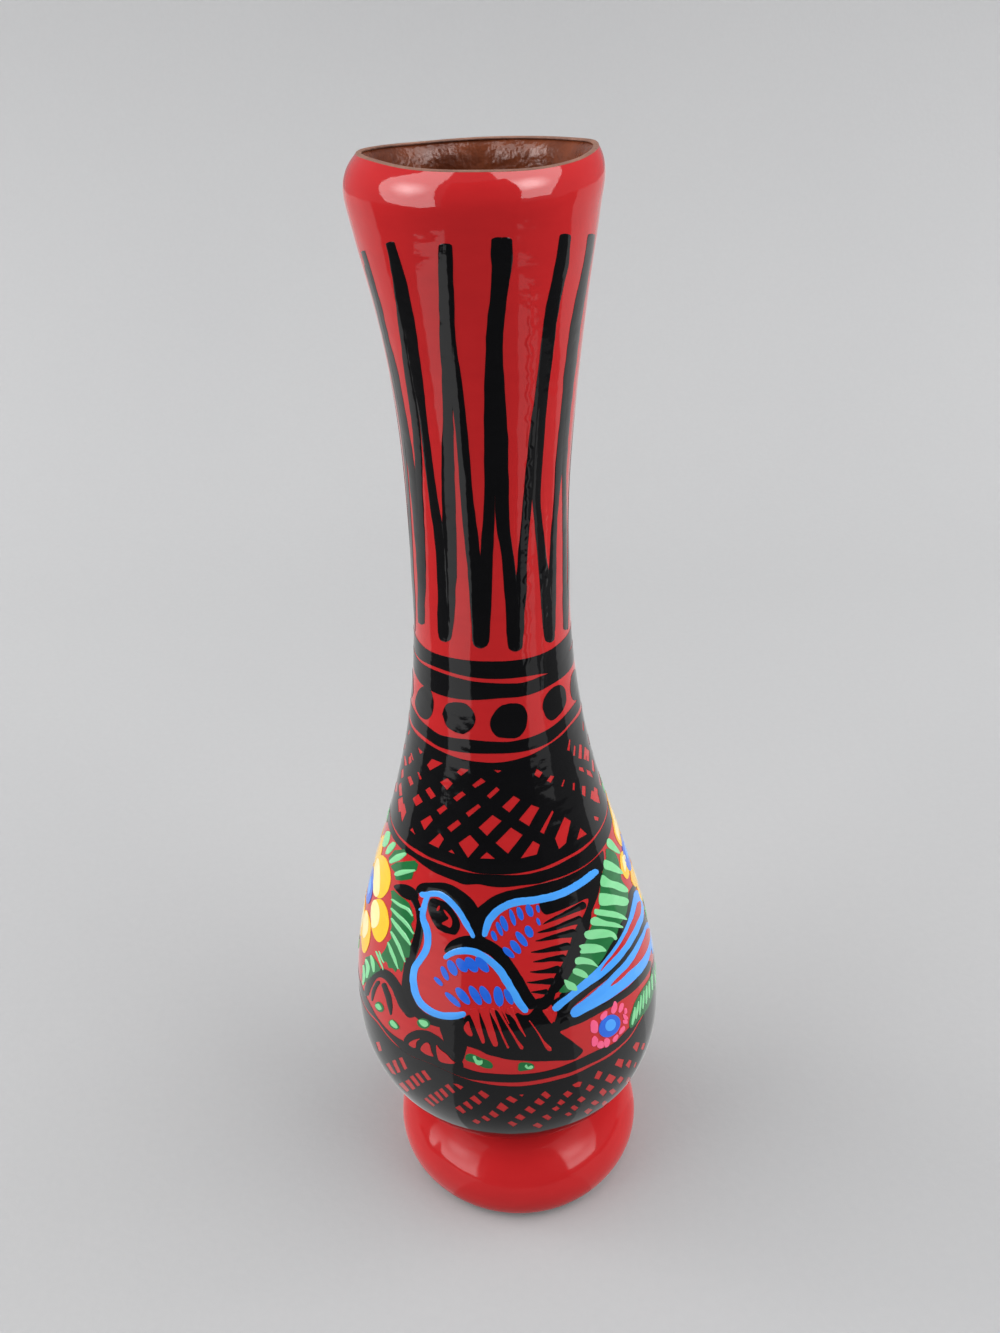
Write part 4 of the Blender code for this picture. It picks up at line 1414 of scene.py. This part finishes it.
print("bird painted")

# leaves, buds and flowers in front
leaves = {
    "fernGround": ((606, 849), (606, 860), (603, 870), (601, 880), (600, 890), (600, 905), (597, 915),
                   (592, 925), (587, 938), (582, 950), (578, 962), (572, 972), (566, 982), (559, 992),
                   (572, 990), (590, 975), (603, 958), (611, 944), (616, 936), (620, 925), (626, 915),
                   (628, 905), (628, 890), (622, 880), (620, 868), (617, 856), (612, 851)),
    "fern": (
        ((607, 839), (611, 840), (619, 851), (619.5, 854), (613, 851), (607, 846)),
        ((604, 860), (611, 862), (618, 867), (623, 873), (620, 874), (611, 871), (604, 868)),
        ((601, 877), (603, 875), (610, 880), (620, 883), (627, 888), (628, 892), (622, 892), (612, 888),
         (601, 886)),
        ((599, 895), (601, 893), (609, 894), (619, 896), (628, 899), (628, 904), (624, 906), (614, 905),
         (600, 905)),
        ((595, 909), (605, 910), (616, 912), (624, 916), (627, 920), (621, 919), (610, 917), (597, 915),
         (594, 913)),
        ((592, 918), (596, 917), (606, 921), (616, 923), (623, 927), (621, 928), (612, 927), (602, 926),
         (592, 925), (590, 921)),
        ((585, 932), (590, 930), (600, 929), (608, 930), (614, 933), (617, 938), (615, 940), (611, 937),
         (602, 938), (588, 939), (584, 935)),
        ((579, 946), (584, 944), (595, 944), (603, 947), (606, 951), (600, 952), (590, 953), (580, 953),
         (581, 949)),
        ((575, 959), (580, 957), (590, 959), (595, 963), (598, 967), (592, 965), (584, 964), (576, 964)),
        ((573, 969), (577, 968), (584, 971), (588, 976), (585, 978), (579, 976), (573, 973)),
        ((564, 980), (569, 981), (575, 984), (577, 990), (571, 990), (567, 988)),
    ),
    "sprayGround": (
        ((391, 891), (394, 890), (399, 895), (405, 899), (409, 903), (412, 910), (414, 919), (411, 924),
         (413.5, 931), (413.5, 937), (410, 942), (410.5, 950), (409.5, 957), (404.5, 958), (403.5, 967),
         (401.5, 972), (398, 967), (396, 972), (392.5, 968), (389, 968), (387, 962), (383, 961), (381, 955),
         (385, 950), (388, 942), (391.5, 938), (390.5, 931), (392, 926), (391, 919), (392.3, 914),
         (391, 907), (392.3, 901)),
        ((391, 866), (397, 862), (408, 861), (415, 860), (418.5, 864), (417, 870), (408, 872), (396, 873)),
        ((395, 873), (405, 873), (414, 872), (412, 879), (402, 880.5), (396, 879.5)),
        ((389, 858), (395, 850), (405, 849), (407, 853), (396, 860), (390, 863)),
        ((366, 957), (372, 955), (377, 962), (381, 970), (374, 974), (368, 980), (363, 985), (362, 975)),
    ),
    "spray": (
        ((384, 847, 4), (387, 839, 6), (389, 831, 5)), ((386.5, 854, 3), (391, 848, 6), (395.5, 842, 4)),
        ((390, 862.5, 4), (398, 857.5, 6.5), (407, 853, 3)), ((395, 874.5, 4), (404, 872, 5), (416, 870, 2)),
        ((391.5, 899, 2), (400, 905, 3.2), (408, 909, 3.4), (413, 916, 1.5)),
        ((391, 908, 2), (398, 915, 3.6), (407, 924, 3.4), (414, 934, 1.5)),
        ((391.5, 918, 2), (397, 926, 4), (405, 936, 4.2), (411, 945, 1.8)),
        ((391, 931, 2), (395, 938, 3.2), (400, 948, 3.2), (405.5, 962, 1.6)),
        ((388, 942, 2), (391.5, 951, 3.4), (395, 960, 3.2), (398.5, 969, 1.4)),
        ((376, 951, 1.2), (379, 958, 2), (383.5, 970, 1)), ((379, 951, 1), (381, 957, 1.6), (384, 963, 1)),
        ((371, 955, 2), (373, 963, 4), (374, 972, 2)), ((366, 959, 2), (368, 967, 4), (367, 978, 2)),
        ((363.5, 965, 1.5), (364, 975, 3), (363, 985, 1.5)),
    ),
    "buds": (
        ((375, 1005), (378, 1001.5), (382, 1004), (384, 1009), (381.5, 1012), (377.5, 1010.5)),
        ((388.5, 1022), (392, 1019.5), (397, 1023), (399.5, 1028), (395.5, 1029.5), (390.5, 1026.5)),
        ((417.5, 1020.5), (423, 1018), (429, 1020.5), (430, 1025.5), (425, 1028.5), (419, 1026)),
        ((467, 1054), (472, 1053.5), (480, 1057), (489, 1060.5), (493, 1065), (491, 1068), (484, 1067),
         (476, 1063), (467, 1060), (465.5, 1057)),
        ((519, 1063), (524, 1062), (531, 1063), (534, 1065.5), (533, 1068.5), (526, 1070), (519, 1070.5),
         (518, 1067)),
    ),
    "budLights": (
        ((375.5, 1005), (378.5, 1003.5), (381, 1006), (382, 1009), (379.5, 1010), (377, 1008)),
        ((390, 1021.5), (392.5, 1020), (396.5, 1024), (398, 1027.5), (395.5, 1028), (391.5, 1025)),
        ((419, 1020), (423, 1019.5), (427.5, 1021.5), (428.5, 1025), (425, 1026.5), (421.5, 1024.5)),
        ((473, 1056), (475.5, 1055.5), (477, 1059), (480, 1060), (482.5, 1059.5), (482.5, 1063),
         (479, 1064.5), (476, 1063), (474.5, 1060)),
        ((524.5, 1065.5), (526.5, 1064), (528, 1066.5), (531, 1065), (533, 1066), (532, 1068), (528, 1068.5),
         (526, 1067.5)),
    ),
    "grassGround": ((634, 1005), (640, 993), (645, 985), (650, 977), (652.5, 967), (654, 968), (654.5, 980),
                    (653.5, 990), (650, 1003), (645, 1012), (638, 1021), (631, 1028), (629.5, 1022)),
    "grassEnd": (84, 59.5),
    "groundEnd": ((-6, 1.6, 6), (-1, 0, 7), (4, -1.4, 5.5), (8, -2.6, 2)),
    "endBlades": ((-3.4, 1.2), (0.4, 0.2), (4.2, -1)),
    "endBlade": ((-0.4, 2.6, 0.7), (0, 0, 1.9), (0.4, -2.4, 0.7)),
    "groundWild": 0.08,
    "grass": (
        ((635, 1007, 1.4), (634, 1016, 3), (632, 1025, 1.8)), ((638.5, 1001, 1), (637.3, 1010, 2.2),
         (636, 1019, 1.2)),
        ((641, 995, 1), (640.3, 1005, 2), (639.5, 1015, 1)), ((643.7, 990.5, 1), (643.2, 1000, 2.2),
         (642.7, 1009, 1)),
        ((646.5, 985.5, 1), (646.3, 995, 2.2), (646, 1004, 1)), ((649, 981, 1), (649, 990, 1.8),
         (649, 998, 0.9)),
        ((651.5, 974, 0.9), (651.8, 982, 1.5), (652, 990, 0.8)),
    ),
}
leafGreen = Brush("leaf_green_brushwork", "leaf", layers["leaf"])
paleGreen = Brush("pale_green_brushwork", "paleLeaf", layers["leafLight"])
leafGreen.patch(leaves["fernGround"])
for outline in leaves["fern"]:
    paleGreen.patch(outline, step=1.4, wild=0.15)
for outline in leaves["sprayGround"]:
    leafGreen.patch(outline, step=1.5, corners=True)
for path in leaves["spray"]:
    paleGreen.stroke(path)
for outline in leaves["buds"]:
    leafGreen.patch(outline, step=1.2, wild=0.12)
for outline in leaves["budLights"]:
    paleGreen.patch(outline, step=1, wild=0.08)
leafGreen.patch(leaves["grassGround"])
for path in leaves["grass"]:
    paleGreen.stroke(path, step=1.2, wild=0.1)
grassEnd = around(*leaves["grassEnd"])
leafGreen.stroke(leaves["groundEnd"], grassEnd, fineStep, leaves["groundWild"])
for x, y in leaves["endBlades"]:
    blade = [(x + right, y + up, width) for right, up, width in leaves["endBlade"]]
    paleGreen.stroke(blade, grassEnd, fineStep, fineWild)

flowers = {
    "petals": (
        ((375, 862), (380, 855), (386, 858), (390, 868), (391, 880), (388, 891), (382, 898), (377, 897),
         (374, 888), (373, 875)),
        ((372, 905), (377, 899), (383, 901), (388, 912), (389, 925), (386, 936), (380, 942), (375, 938),
         (372, 928), (371, 915)),
        ((362, 925), (366, 910), (369, 915), (371, 930), (369, 945), (365, 953), (362, 947)),
        ((374, 862), (378, 846), (384, 835), (383, 847), (379, 859)),
        ((612, 819), (615, 817), (619, 830), (622, 846), (618, 842), (614, 832)),
        ((620, 856), (623, 851), (627, 858), (629.5, 870), (628, 879), (624, 876), (621, 868)),
        ((629.5, 862), (632, 866), (637, 880), (636, 887), (632, 881)),
    ),
    "petalLights": (
        ((373.8, 882), (375, 868), (378.5, 858), (380.5, 870), (380, 890), (377, 897), (374, 893)),
        ((371.5, 910), (373, 902), (376, 899.5), (379, 906), (380, 918), (377, 926), (372.2, 927)),
        ((363, 930), (365, 915), (367.5, 911), (369, 920), (368, 932), (364, 938)),
        ((613.5, 822), (616, 821), (618, 832), (619, 840), (615.5, 832)),
        ((622, 857), (624.5, 855), (626, 864), (625, 872), (623, 866)),
    ),
    "eyes": (
        ((626, 840), (629, 838), (632, 848), (630, 858), (627.5, 851)),
    ),
    "pink": (
        ((591, 1022), (594, 1020), (597.5, 1023), (598, 1030), (596, 1033), (591.5, 1032), (590.5, 1027)),
        ((600.5, 1016), (604, 1012), (607, 1011), (607, 1015), (604, 1019.5), (601, 1020)),
        ((612.5, 1006), (614.5, 1001), (617, 1004), (616.5, 1010), (614, 1013.5), (611.5, 1013),
         (611, 1009.5)),
        ((619, 1007.5), (621, 1003.5), (623.5, 1003.5), (623, 1009), (620.5, 1012.5), (618.5, 1012)),
        ((624.5, 1009), (626.5, 1008), (627, 1013), (624.5, 1014)),
        ((623, 1014), (627, 1016), (628, 1019), (624.5, 1019.5)),
        ((623, 1020.5), (627, 1020), (627.5, 1023.5), (623.5, 1023.5)),
        ((620, 1030), (624, 1026), (625, 1029.5), (621, 1034), (619, 1034)),
        ((613, 1038.5), (617, 1034.5), (618.5, 1036), (616.5, 1041), (613, 1042)),
        ((604, 1041), (607, 1038), (610, 1040.5), (608.5, 1046), (605, 1047)),
        ((597, 1046), (600, 1041), (603.5, 1042), (603.5, 1047), (600, 1048.5)),
        ((592, 1039), (595, 1036), (598, 1039.5), (597.5, 1044), (594, 1046.5), (592, 1045)),
    ),
    "pinkEye": (609.5, 1026, 25, 18.5, 130),
    "pinkLight": (610.3, 1025, 12.5, 10, 120),
}
yellow = Brush("yellow_petals", "yellow", layers["colour"])
cream = Brush("cream_petal_lights", "cream", layers["light"])
pink = Brush("pink_petals", "pink", layers["colour"])
eyes = Brush("flower_eyes", "deepBlue", layers["light"])
eyeLights = Brush("flower_eye_lights", "blue", layers["eyeLight"])
for outline in flowers["petals"]:
    yellow.patch(outline)
for outline in flowers["petalLights"]:
    cream.patch(outline)
for outline in flowers["eyes"]:
    eyes.patch(outline)
for outline in flowers["pink"]:
    pink.patch(outline, step=1.2, wild=0.1)
eyes.dab(*flowers["pinkEye"])
eyeLights.dab(*flowers["pinkLight"])
print("front flowers painted")

# round the back: the same flowers, sprays and scrolls, set out in mm
backGarden = {
    # turn and level of the middle, first and last direction
    "flowers": ((-86, 90, 135, 262), (88, 96, -80, 80), (180, 82, -180, 180)),
    "petals": 8,
    "petalReach": 11.5,
    "petalSize": (10.5, 9),
    "petalPinch": -0.15,
    "light": {"inward": 1.4, "aside": 1.6, "long": 0.6, "wide": 0.4},
    # presses of the brush: right, up, length, width, turn
    "eye": (0, 0, 9, 9, 0),
    "eyeLight": (0.3, 0.4, 4.4, 4.0, 0),
    "sprays": ((-86, 90, 95, 265), (88, 96, -95, 95), (180, 82, 0, 360)),
    "sprayReach": (18.5, 26),
    "sprayEvery": 12.0,
    "sprayStray": (2, 1),
    "sprayHeight": 22,
    "leastSteep": 0.2,
    "leafWidths": (1.0, 2.6, 0.8),
    "leafLight": {"turn": 4, "short": 0.6, "widths": (0.6, 1.3, 0.5)},
    "pinks": ((134, 62), (226, 62), (158, 101), (206, 101)),
    "pinkPetals": 11,
    "pinkReach": 4.6,
    "pinkSize": (3.6, 2.3),
    "pinkEye": (0, 0, 5.4, 5.4, 0),
    "pinkLight": (0.2, 0.2, 2.4, 2.4, 0),
    "scrolls": (108, 126, 150, 166, 194, 210, 232, 250),
    "scrollLevel": 53.5,
    "scroll": ((-6, -1.5, 1.4), (-4.5, 2.5, 2.2), (-1, 4.2, 2.6), (3, 2.4, 2.8), (5.5, -1.5, 2.4)),
    "scrollHairs": (
        ((-1, 3.4, 1.2), (0.4, 0.6, 1.5), (0.6, -2.4, 0.7)),
        ((2.6, 1.8, 1.2), (3.2, -0.4, 1.3), (2.9, -2.6, 0.7)),
    ),
    "buds": (116, 138, 158, 180, 202, 222, 242, 262),
    "budLevel": 50.4,
    "bud": (0, 0, 4.6, 3, 5),
    "budLight": (0.2, 0.2, 2.6, 1.5, 5),
    "hairWild": 0.05,
}


def petalTurns(start, stop):
    whole = stop - start >= 360
    petals = backGarden["petals"]
    count = petals if whole else int(round(petals * (stop - start) / 360)) + 1
    share = (stop - start) / (count if whole else count - 1)
    return [start + share * i for i in range(count)]


def outwards(turn, reaches, widths):
    # points of a stroke that runs straight out from the middle
    c, s = turnedBy(turn)
    return [(reach * c, reach * s, width) for reach, width in zip(reaches, widths)]


def backFlower(spot, start, stop):
    long, wide = backGarden["petalSize"]
    reach, light = backGarden["petalReach"], backGarden["light"]
    nearer, aside = reach - light["inward"], light["aside"]
    for turn in petalTurns(start, stop):
        c, s = turnedBy(turn)
        yellow.dab(reach * c, reach * s, long, wide, turn, spot, backGarden["petalPinch"], fineStep)
        cream.dab(nearer * c - aside * s, nearer * s + aside * c, long * light["long"], wide * light["wide"],
                  turn, spot, step=fineStep)
    eyes.dab(*backGarden["eye"], spot, step=fineStep)
    eyeLights.dab(*backGarden["eyeLight"], spot, step=fineStep)


def backSpray(spot, start, stop):
    near, far = backGarden["sprayReach"]
    strayTurn, strayReach = backGarden["sprayStray"]
    light = backGarden["leafLight"]
    for turn in np.arange(start, stop, backGarden["sprayEvery"]):
        turn = straying(turn, strayTurn)
        steep = max(abs(turnedBy(turn)[1]), backGarden["leastSteep"])
        reach = min(straying(far, strayReach), backGarden["sprayHeight"] / steep)
        middle = (near + reach) / 2
        leaf = outwards(turn, (near, middle, reach), backGarden["leafWidths"])
        glint = outwards(turn + light["turn"], (near, middle, reach - light["short"]), light["widths"])
        leafGreen.stroke(leaf, spot, fineStep, fineWild)
        paleGreen.stroke(glint, spot, fineStep, backGarden["hairWild"])


def backPink(spot):
    reach = backGarden["pinkReach"]
    for i in range(backGarden["pinkPetals"]):
        turn = i * 360 / backGarden["pinkPetals"]
        c, s = turnedBy(turn)
        pink.dab(reach * c, reach * s, *backGarden["pinkSize"], turn, spot, step=smallStep)
    eyes.dab(*backGarden["pinkEye"], spot, step=smallStep)
    eyeLights.dab(*backGarden["pinkLight"], spot, step=smallStep)


backDark = darkBrush("back_dark_brushwork")
for degrees, level, start, stop in backGarden["flowers"]:
    backFlower(around(degrees, level), start, stop)
for degrees, level, start, stop in backGarden["sprays"]:
    backSpray(around(degrees, level), start, stop)
for degrees, level in backGarden["pinks"]:
    backPink(around(degrees, level))
for i, degrees in enumerate(backGarden["scrolls"]):
    spot = around(degrees, backGarden["scrollLevel"], 1 if i % 2 else -1)
    backDark.stroke(backGarden["scroll"], spot, fineStep, fineWild)
    for hair in backGarden["scrollHairs"]:
        backDark.stroke(hair, spot, fineStep, backGarden["hairWild"])
for degrees in backGarden["buds"]:
    spot = around(degrees, backGarden["budLevel"])
    leafGreen.dab(*backGarden["bud"], spot, step=smallStep)
    paleGreen.dab(*backGarden["budLight"], spot, step=smallStep)
for brush in (backDark, leafGreen, paleGreen, yellow, cream, pink, eyes, eyeLights):
    brush.done()
print("back painted")

# pale sweep of paper under and behind, in metres
stage = {
    "colour": srgb(179, 179, 179),
    "shade": srgb(172, 172, 173),
    "front": -1.6,
    "behind": 0.62,
    "turnUp": 0.3,
    "bend": 14,
    "tall": 1.1,
    "wide": 2.4,
    "fibre": (420, 4),
    "cloud": (5, 2),
    "fibreBump": (0.15, 0.0006),
    "rough": 0.9,
    "shine": 0.1,
}


def addSweep():
    start, bend = stage["behind"] - stage["turnUp"], stage["turnUp"]
    line = [(stage["front"], 0.0), (0.0, 0.0), (start, 0.0)]
    for t in np.linspace(0, math.pi / 2, stage["bend"])[1:]:
        line.append((start + bend * math.sin(t), bend - bend * math.cos(t)))
    line.append((stage["behind"], stage["tall"]))
    half = stage["wide"] / 2
    points = [(x, y, z) for y, z in line for x in (-half, half)]
    faces = [(2 * i, 2 * i + 1, 2 * i + 3, 2 * i + 2) for i in range(len(line) - 1)]
    mesh = bpy.data.meshes.new("paperSweep")
    mesh.from_pydata(points, [], faces)
    mesh.shade_smooth()
    sweep = bpy.data.objects.new("paperSweep", mesh)
    scene.collection.objects.link(sweep)
    f = Finish("palePaper")
    spot = f.add("ShaderNodeTexCoord", out="Object")
    fibre = f.noise(spot, *stage["fibre"])
    cloud = f.noise(spot, *stage["cloud"])
    colour = f.blend(fibre * 0.5 + cloud * 0.5, stage["colour"], stage["shade"])
    mesh.materials.append(f.surface(Base_Color=colour, Normal=f.bump(*stage["fibreBump"], fibre),
                                    Roughness=stage["rough"], Specular_IOR_Level=stage["shine"]))
    sweep.visible_glossy = False


addSweep()

# wide fills seen only as light, a dim room
lamps = {
    "leftFill": {"turn": -78, "raise": 30, "far": 1.3, "size": (1.2, 1.2), "power": 12.8},
    "rightFill": {"turn": 72, "raise": 30, "far": 1.3, "size": (1.2, 1.2), "power": 12.8},
    "leftBack": {"turn": -118, "raise": 14, "far": 1.3, "size": (0.9, 0.9), "power": 10},
    "rightBack": {"turn": 118, "raise": 14, "far": 1.3, "size": (0.9, 0.9), "power": 8.5},
    "overhead": {"turn": 0, "raise": 80, "far": 1.5, "size": (1.6, 1.6), "power": 9},
}
room = {"colour": (0.94, 0.96, 1, 1), "strength": 0.34, "aim": 0.14}
# windows that only the varnish mirrors: outline as (turn, raise), brightest at the core
windows = {
    "leftWindow": {"outline": ((-93, 40), (-87, 58), (-76, 78), (-46, 78), (-42, 40), (-37, -3), (-58, -6),
                               (-78, 0), (-86, 9), (-90, 22)), "core": (-64, 30)},
    "rightWindow": {"outline": ((28, 50), (36, 78), (72, 78), (99, 48), (82, 30), (75, 18), (66, 3),
                                (40, 3), (28, 13), (25, 24)), "core": (53, 34)},
}
windowGlass = {
    "far": 1.8,
    "level": 0.2,
    "glow": 12.5,
    "core": (1, 1, 1, 1),
    "edge": (0.38, 0.38, 0.38, 1),
    "fade": (0.05, 0.6),
    "sideParts": 8,
}
# what the varnish mirrors of the table, from one turn to another and from one distance to another:
# paper near the vase, lit patches at left and right, dark further off; some end in an upright edge
cards = {
    "nearFront": {"turn": (-34, 40), "floor": (0.03, 0.2), "glow": 0.32},
    "nearLeft": {"turn": (-98, -34), "floor": (0.03, 0.2), "glow": 0.66},
    "nearRight": {"turn": (40, 98), "floor": (0.03, 0.2), "glow": 0.5},
    "darkFront": {"turn": (-31, 40), "floor": (0.2, 0.8), "upright": 1.3, "glow": 0.08},
    "lowLeft": {"turn": (-64, -31), "floor": (0.2, 0.36), "glow": 1.05},
    "lowLeftEdge": {"turn": (-64, -31), "floor": (0.36, 0.46), "glow": 1.0},
    "besideLeft": {"turn": (-98, -64), "floor": (0.2, 0.28), "glow": 0.7},
    "farLeft": {"turn": (-98, -31), "floor": (0.46, 1.5), "upright": 0.1, "glow": 0.1},
    "farBesideLeft": {"turn": (-98, -64), "floor": (0.28, 0.46), "glow": 0.12},
    "lowRight": {"turn": (40, 64), "floor": (0.2, 0.46), "glow": 0.65},
    "besideRight": {"turn": (64, 98), "floor": (0.2, 0.46), "glow": 0.2},
    "farRight": {"turn": (40, 98), "floor": (0.46, 1.5), "upright": 0.1, "glow": 0.1},
    "behind": {"turn": (98, 262), "floor": (0.03, 1.5), "upright": 0.1, "glow": 0.66},
}
cardPaper = {"lift": 0.001, "columns": 17, "colour": (1, 1, 1, 1)}


def skyWay(turn, lift):
    turn, lift = math.radians(turn), math.radians(lift)
    return Vector((math.sin(turn) * math.cos(lift), -math.cos(turn) * math.cos(lift), math.sin(lift)))


def addLamps():
    aim = Vector((0, 0, room["aim"]))
    for name, one in lamps.items():
        lamp = bpy.data.lights.new(name, "AREA")
        lamp.shape = "RECTANGLE"
        lamp.size, lamp.size_y = one["size"]
        lamp.energy = one["power"]
        way = skyWay(one["turn"], one["raise"])
        holder = bpy.data.objects.new(name, lamp)
        holder.location = aim + way * one["far"]
        holder.rotation_euler = (-way).to_track_quat("-Z", "Y").to_euler()
        holder.visible_glossy = False
        scene.collection.objects.link(holder)
    world = bpy.data.worlds.new("dimRoom")
    world.use_nodes = True
    world.node_tree.nodes["Background"].inputs[0].default_value = room["colour"]
    world.node_tree.nodes["Background"].inputs[1].default_value = room["strength"]
    scene.world = world


def mirroredCard(name, points, faces, place, colour, glow, f):
    mesh = bpy.data.meshes.new(name)
    mesh.from_pydata(points, [], faces)
    mesh.materials.append(f.surface(Base_Color=(0, 0, 0, 1), Emission_Color=colour, Specular_IOR_Level=0,
                                    Emission_Strength=glow))
    card = bpy.data.objects.new(name, mesh)
    card.location = place
    card.visible_camera = False
    card.visible_diffuse = False
    card.visible_shadow = False
    scene.collection.objects.link(card)


def addCards():
    for name, one in cards.items():
        turns = np.radians(np.linspace(*one["turn"], cardPaper["columns"]))
        line = [(reach, cardPaper["lift"]) for reach in one["floor"]]
        if "upright" in one:
            line.append((one["floor"][1], one["upright"]))
        points = [(r * math.sin(t), -r * math.cos(t), z) for t in turns for r, z in line]
        faces = gridFaces(len(turns), len(line))
        mirroredCard(name, points, faces, (0, 0, 0), cardPaper["colour"], one["glow"], Finish(name + "Paper"))


def addWindows():
    aim, far = Vector((0, 0, windowGlass["level"])), windowGlass["far"]
    for name, one in windows.items():
        core = aim + skyWay(*one["core"]) * far
        corners = [np.array(c, float) for c in one["outline"]]
        shares = np.arange(0, 1, 1 / windowGlass["sideParts"])
        rim = [a + (b - a) * t for a, b in zip(corners, corners[1:] + corners[:1]) for t in shares]
        points = [(0, 0, 0)] + [tuple(aim + skyWay(*spot) * far - core) for spot in rim]
        faces = [(0, i + 1, (i + 1) % len(rim) + 1) for i in range(len(rim))]
        f = Finish(name + "Glass")
        spot = f.add("ShaderNodeTexCoord", out="Object")
        reach = f.add("ShaderNodeVectorMath", {"operation": "LENGTH"}, {0: spot}, "Value")
        fade = f.ranged(reach, *windowGlass["fade"], kind="SMOOTHSTEP")
        colour = f.blend(fade, windowGlass["core"], windowGlass["edge"])
        mirroredCard(name, points, faces, core, colour, windowGlass["glow"], f)


addCards()
addWindows()
addLamps()
scene.view_settings.view_transform = "Standard"
print("stage lit")
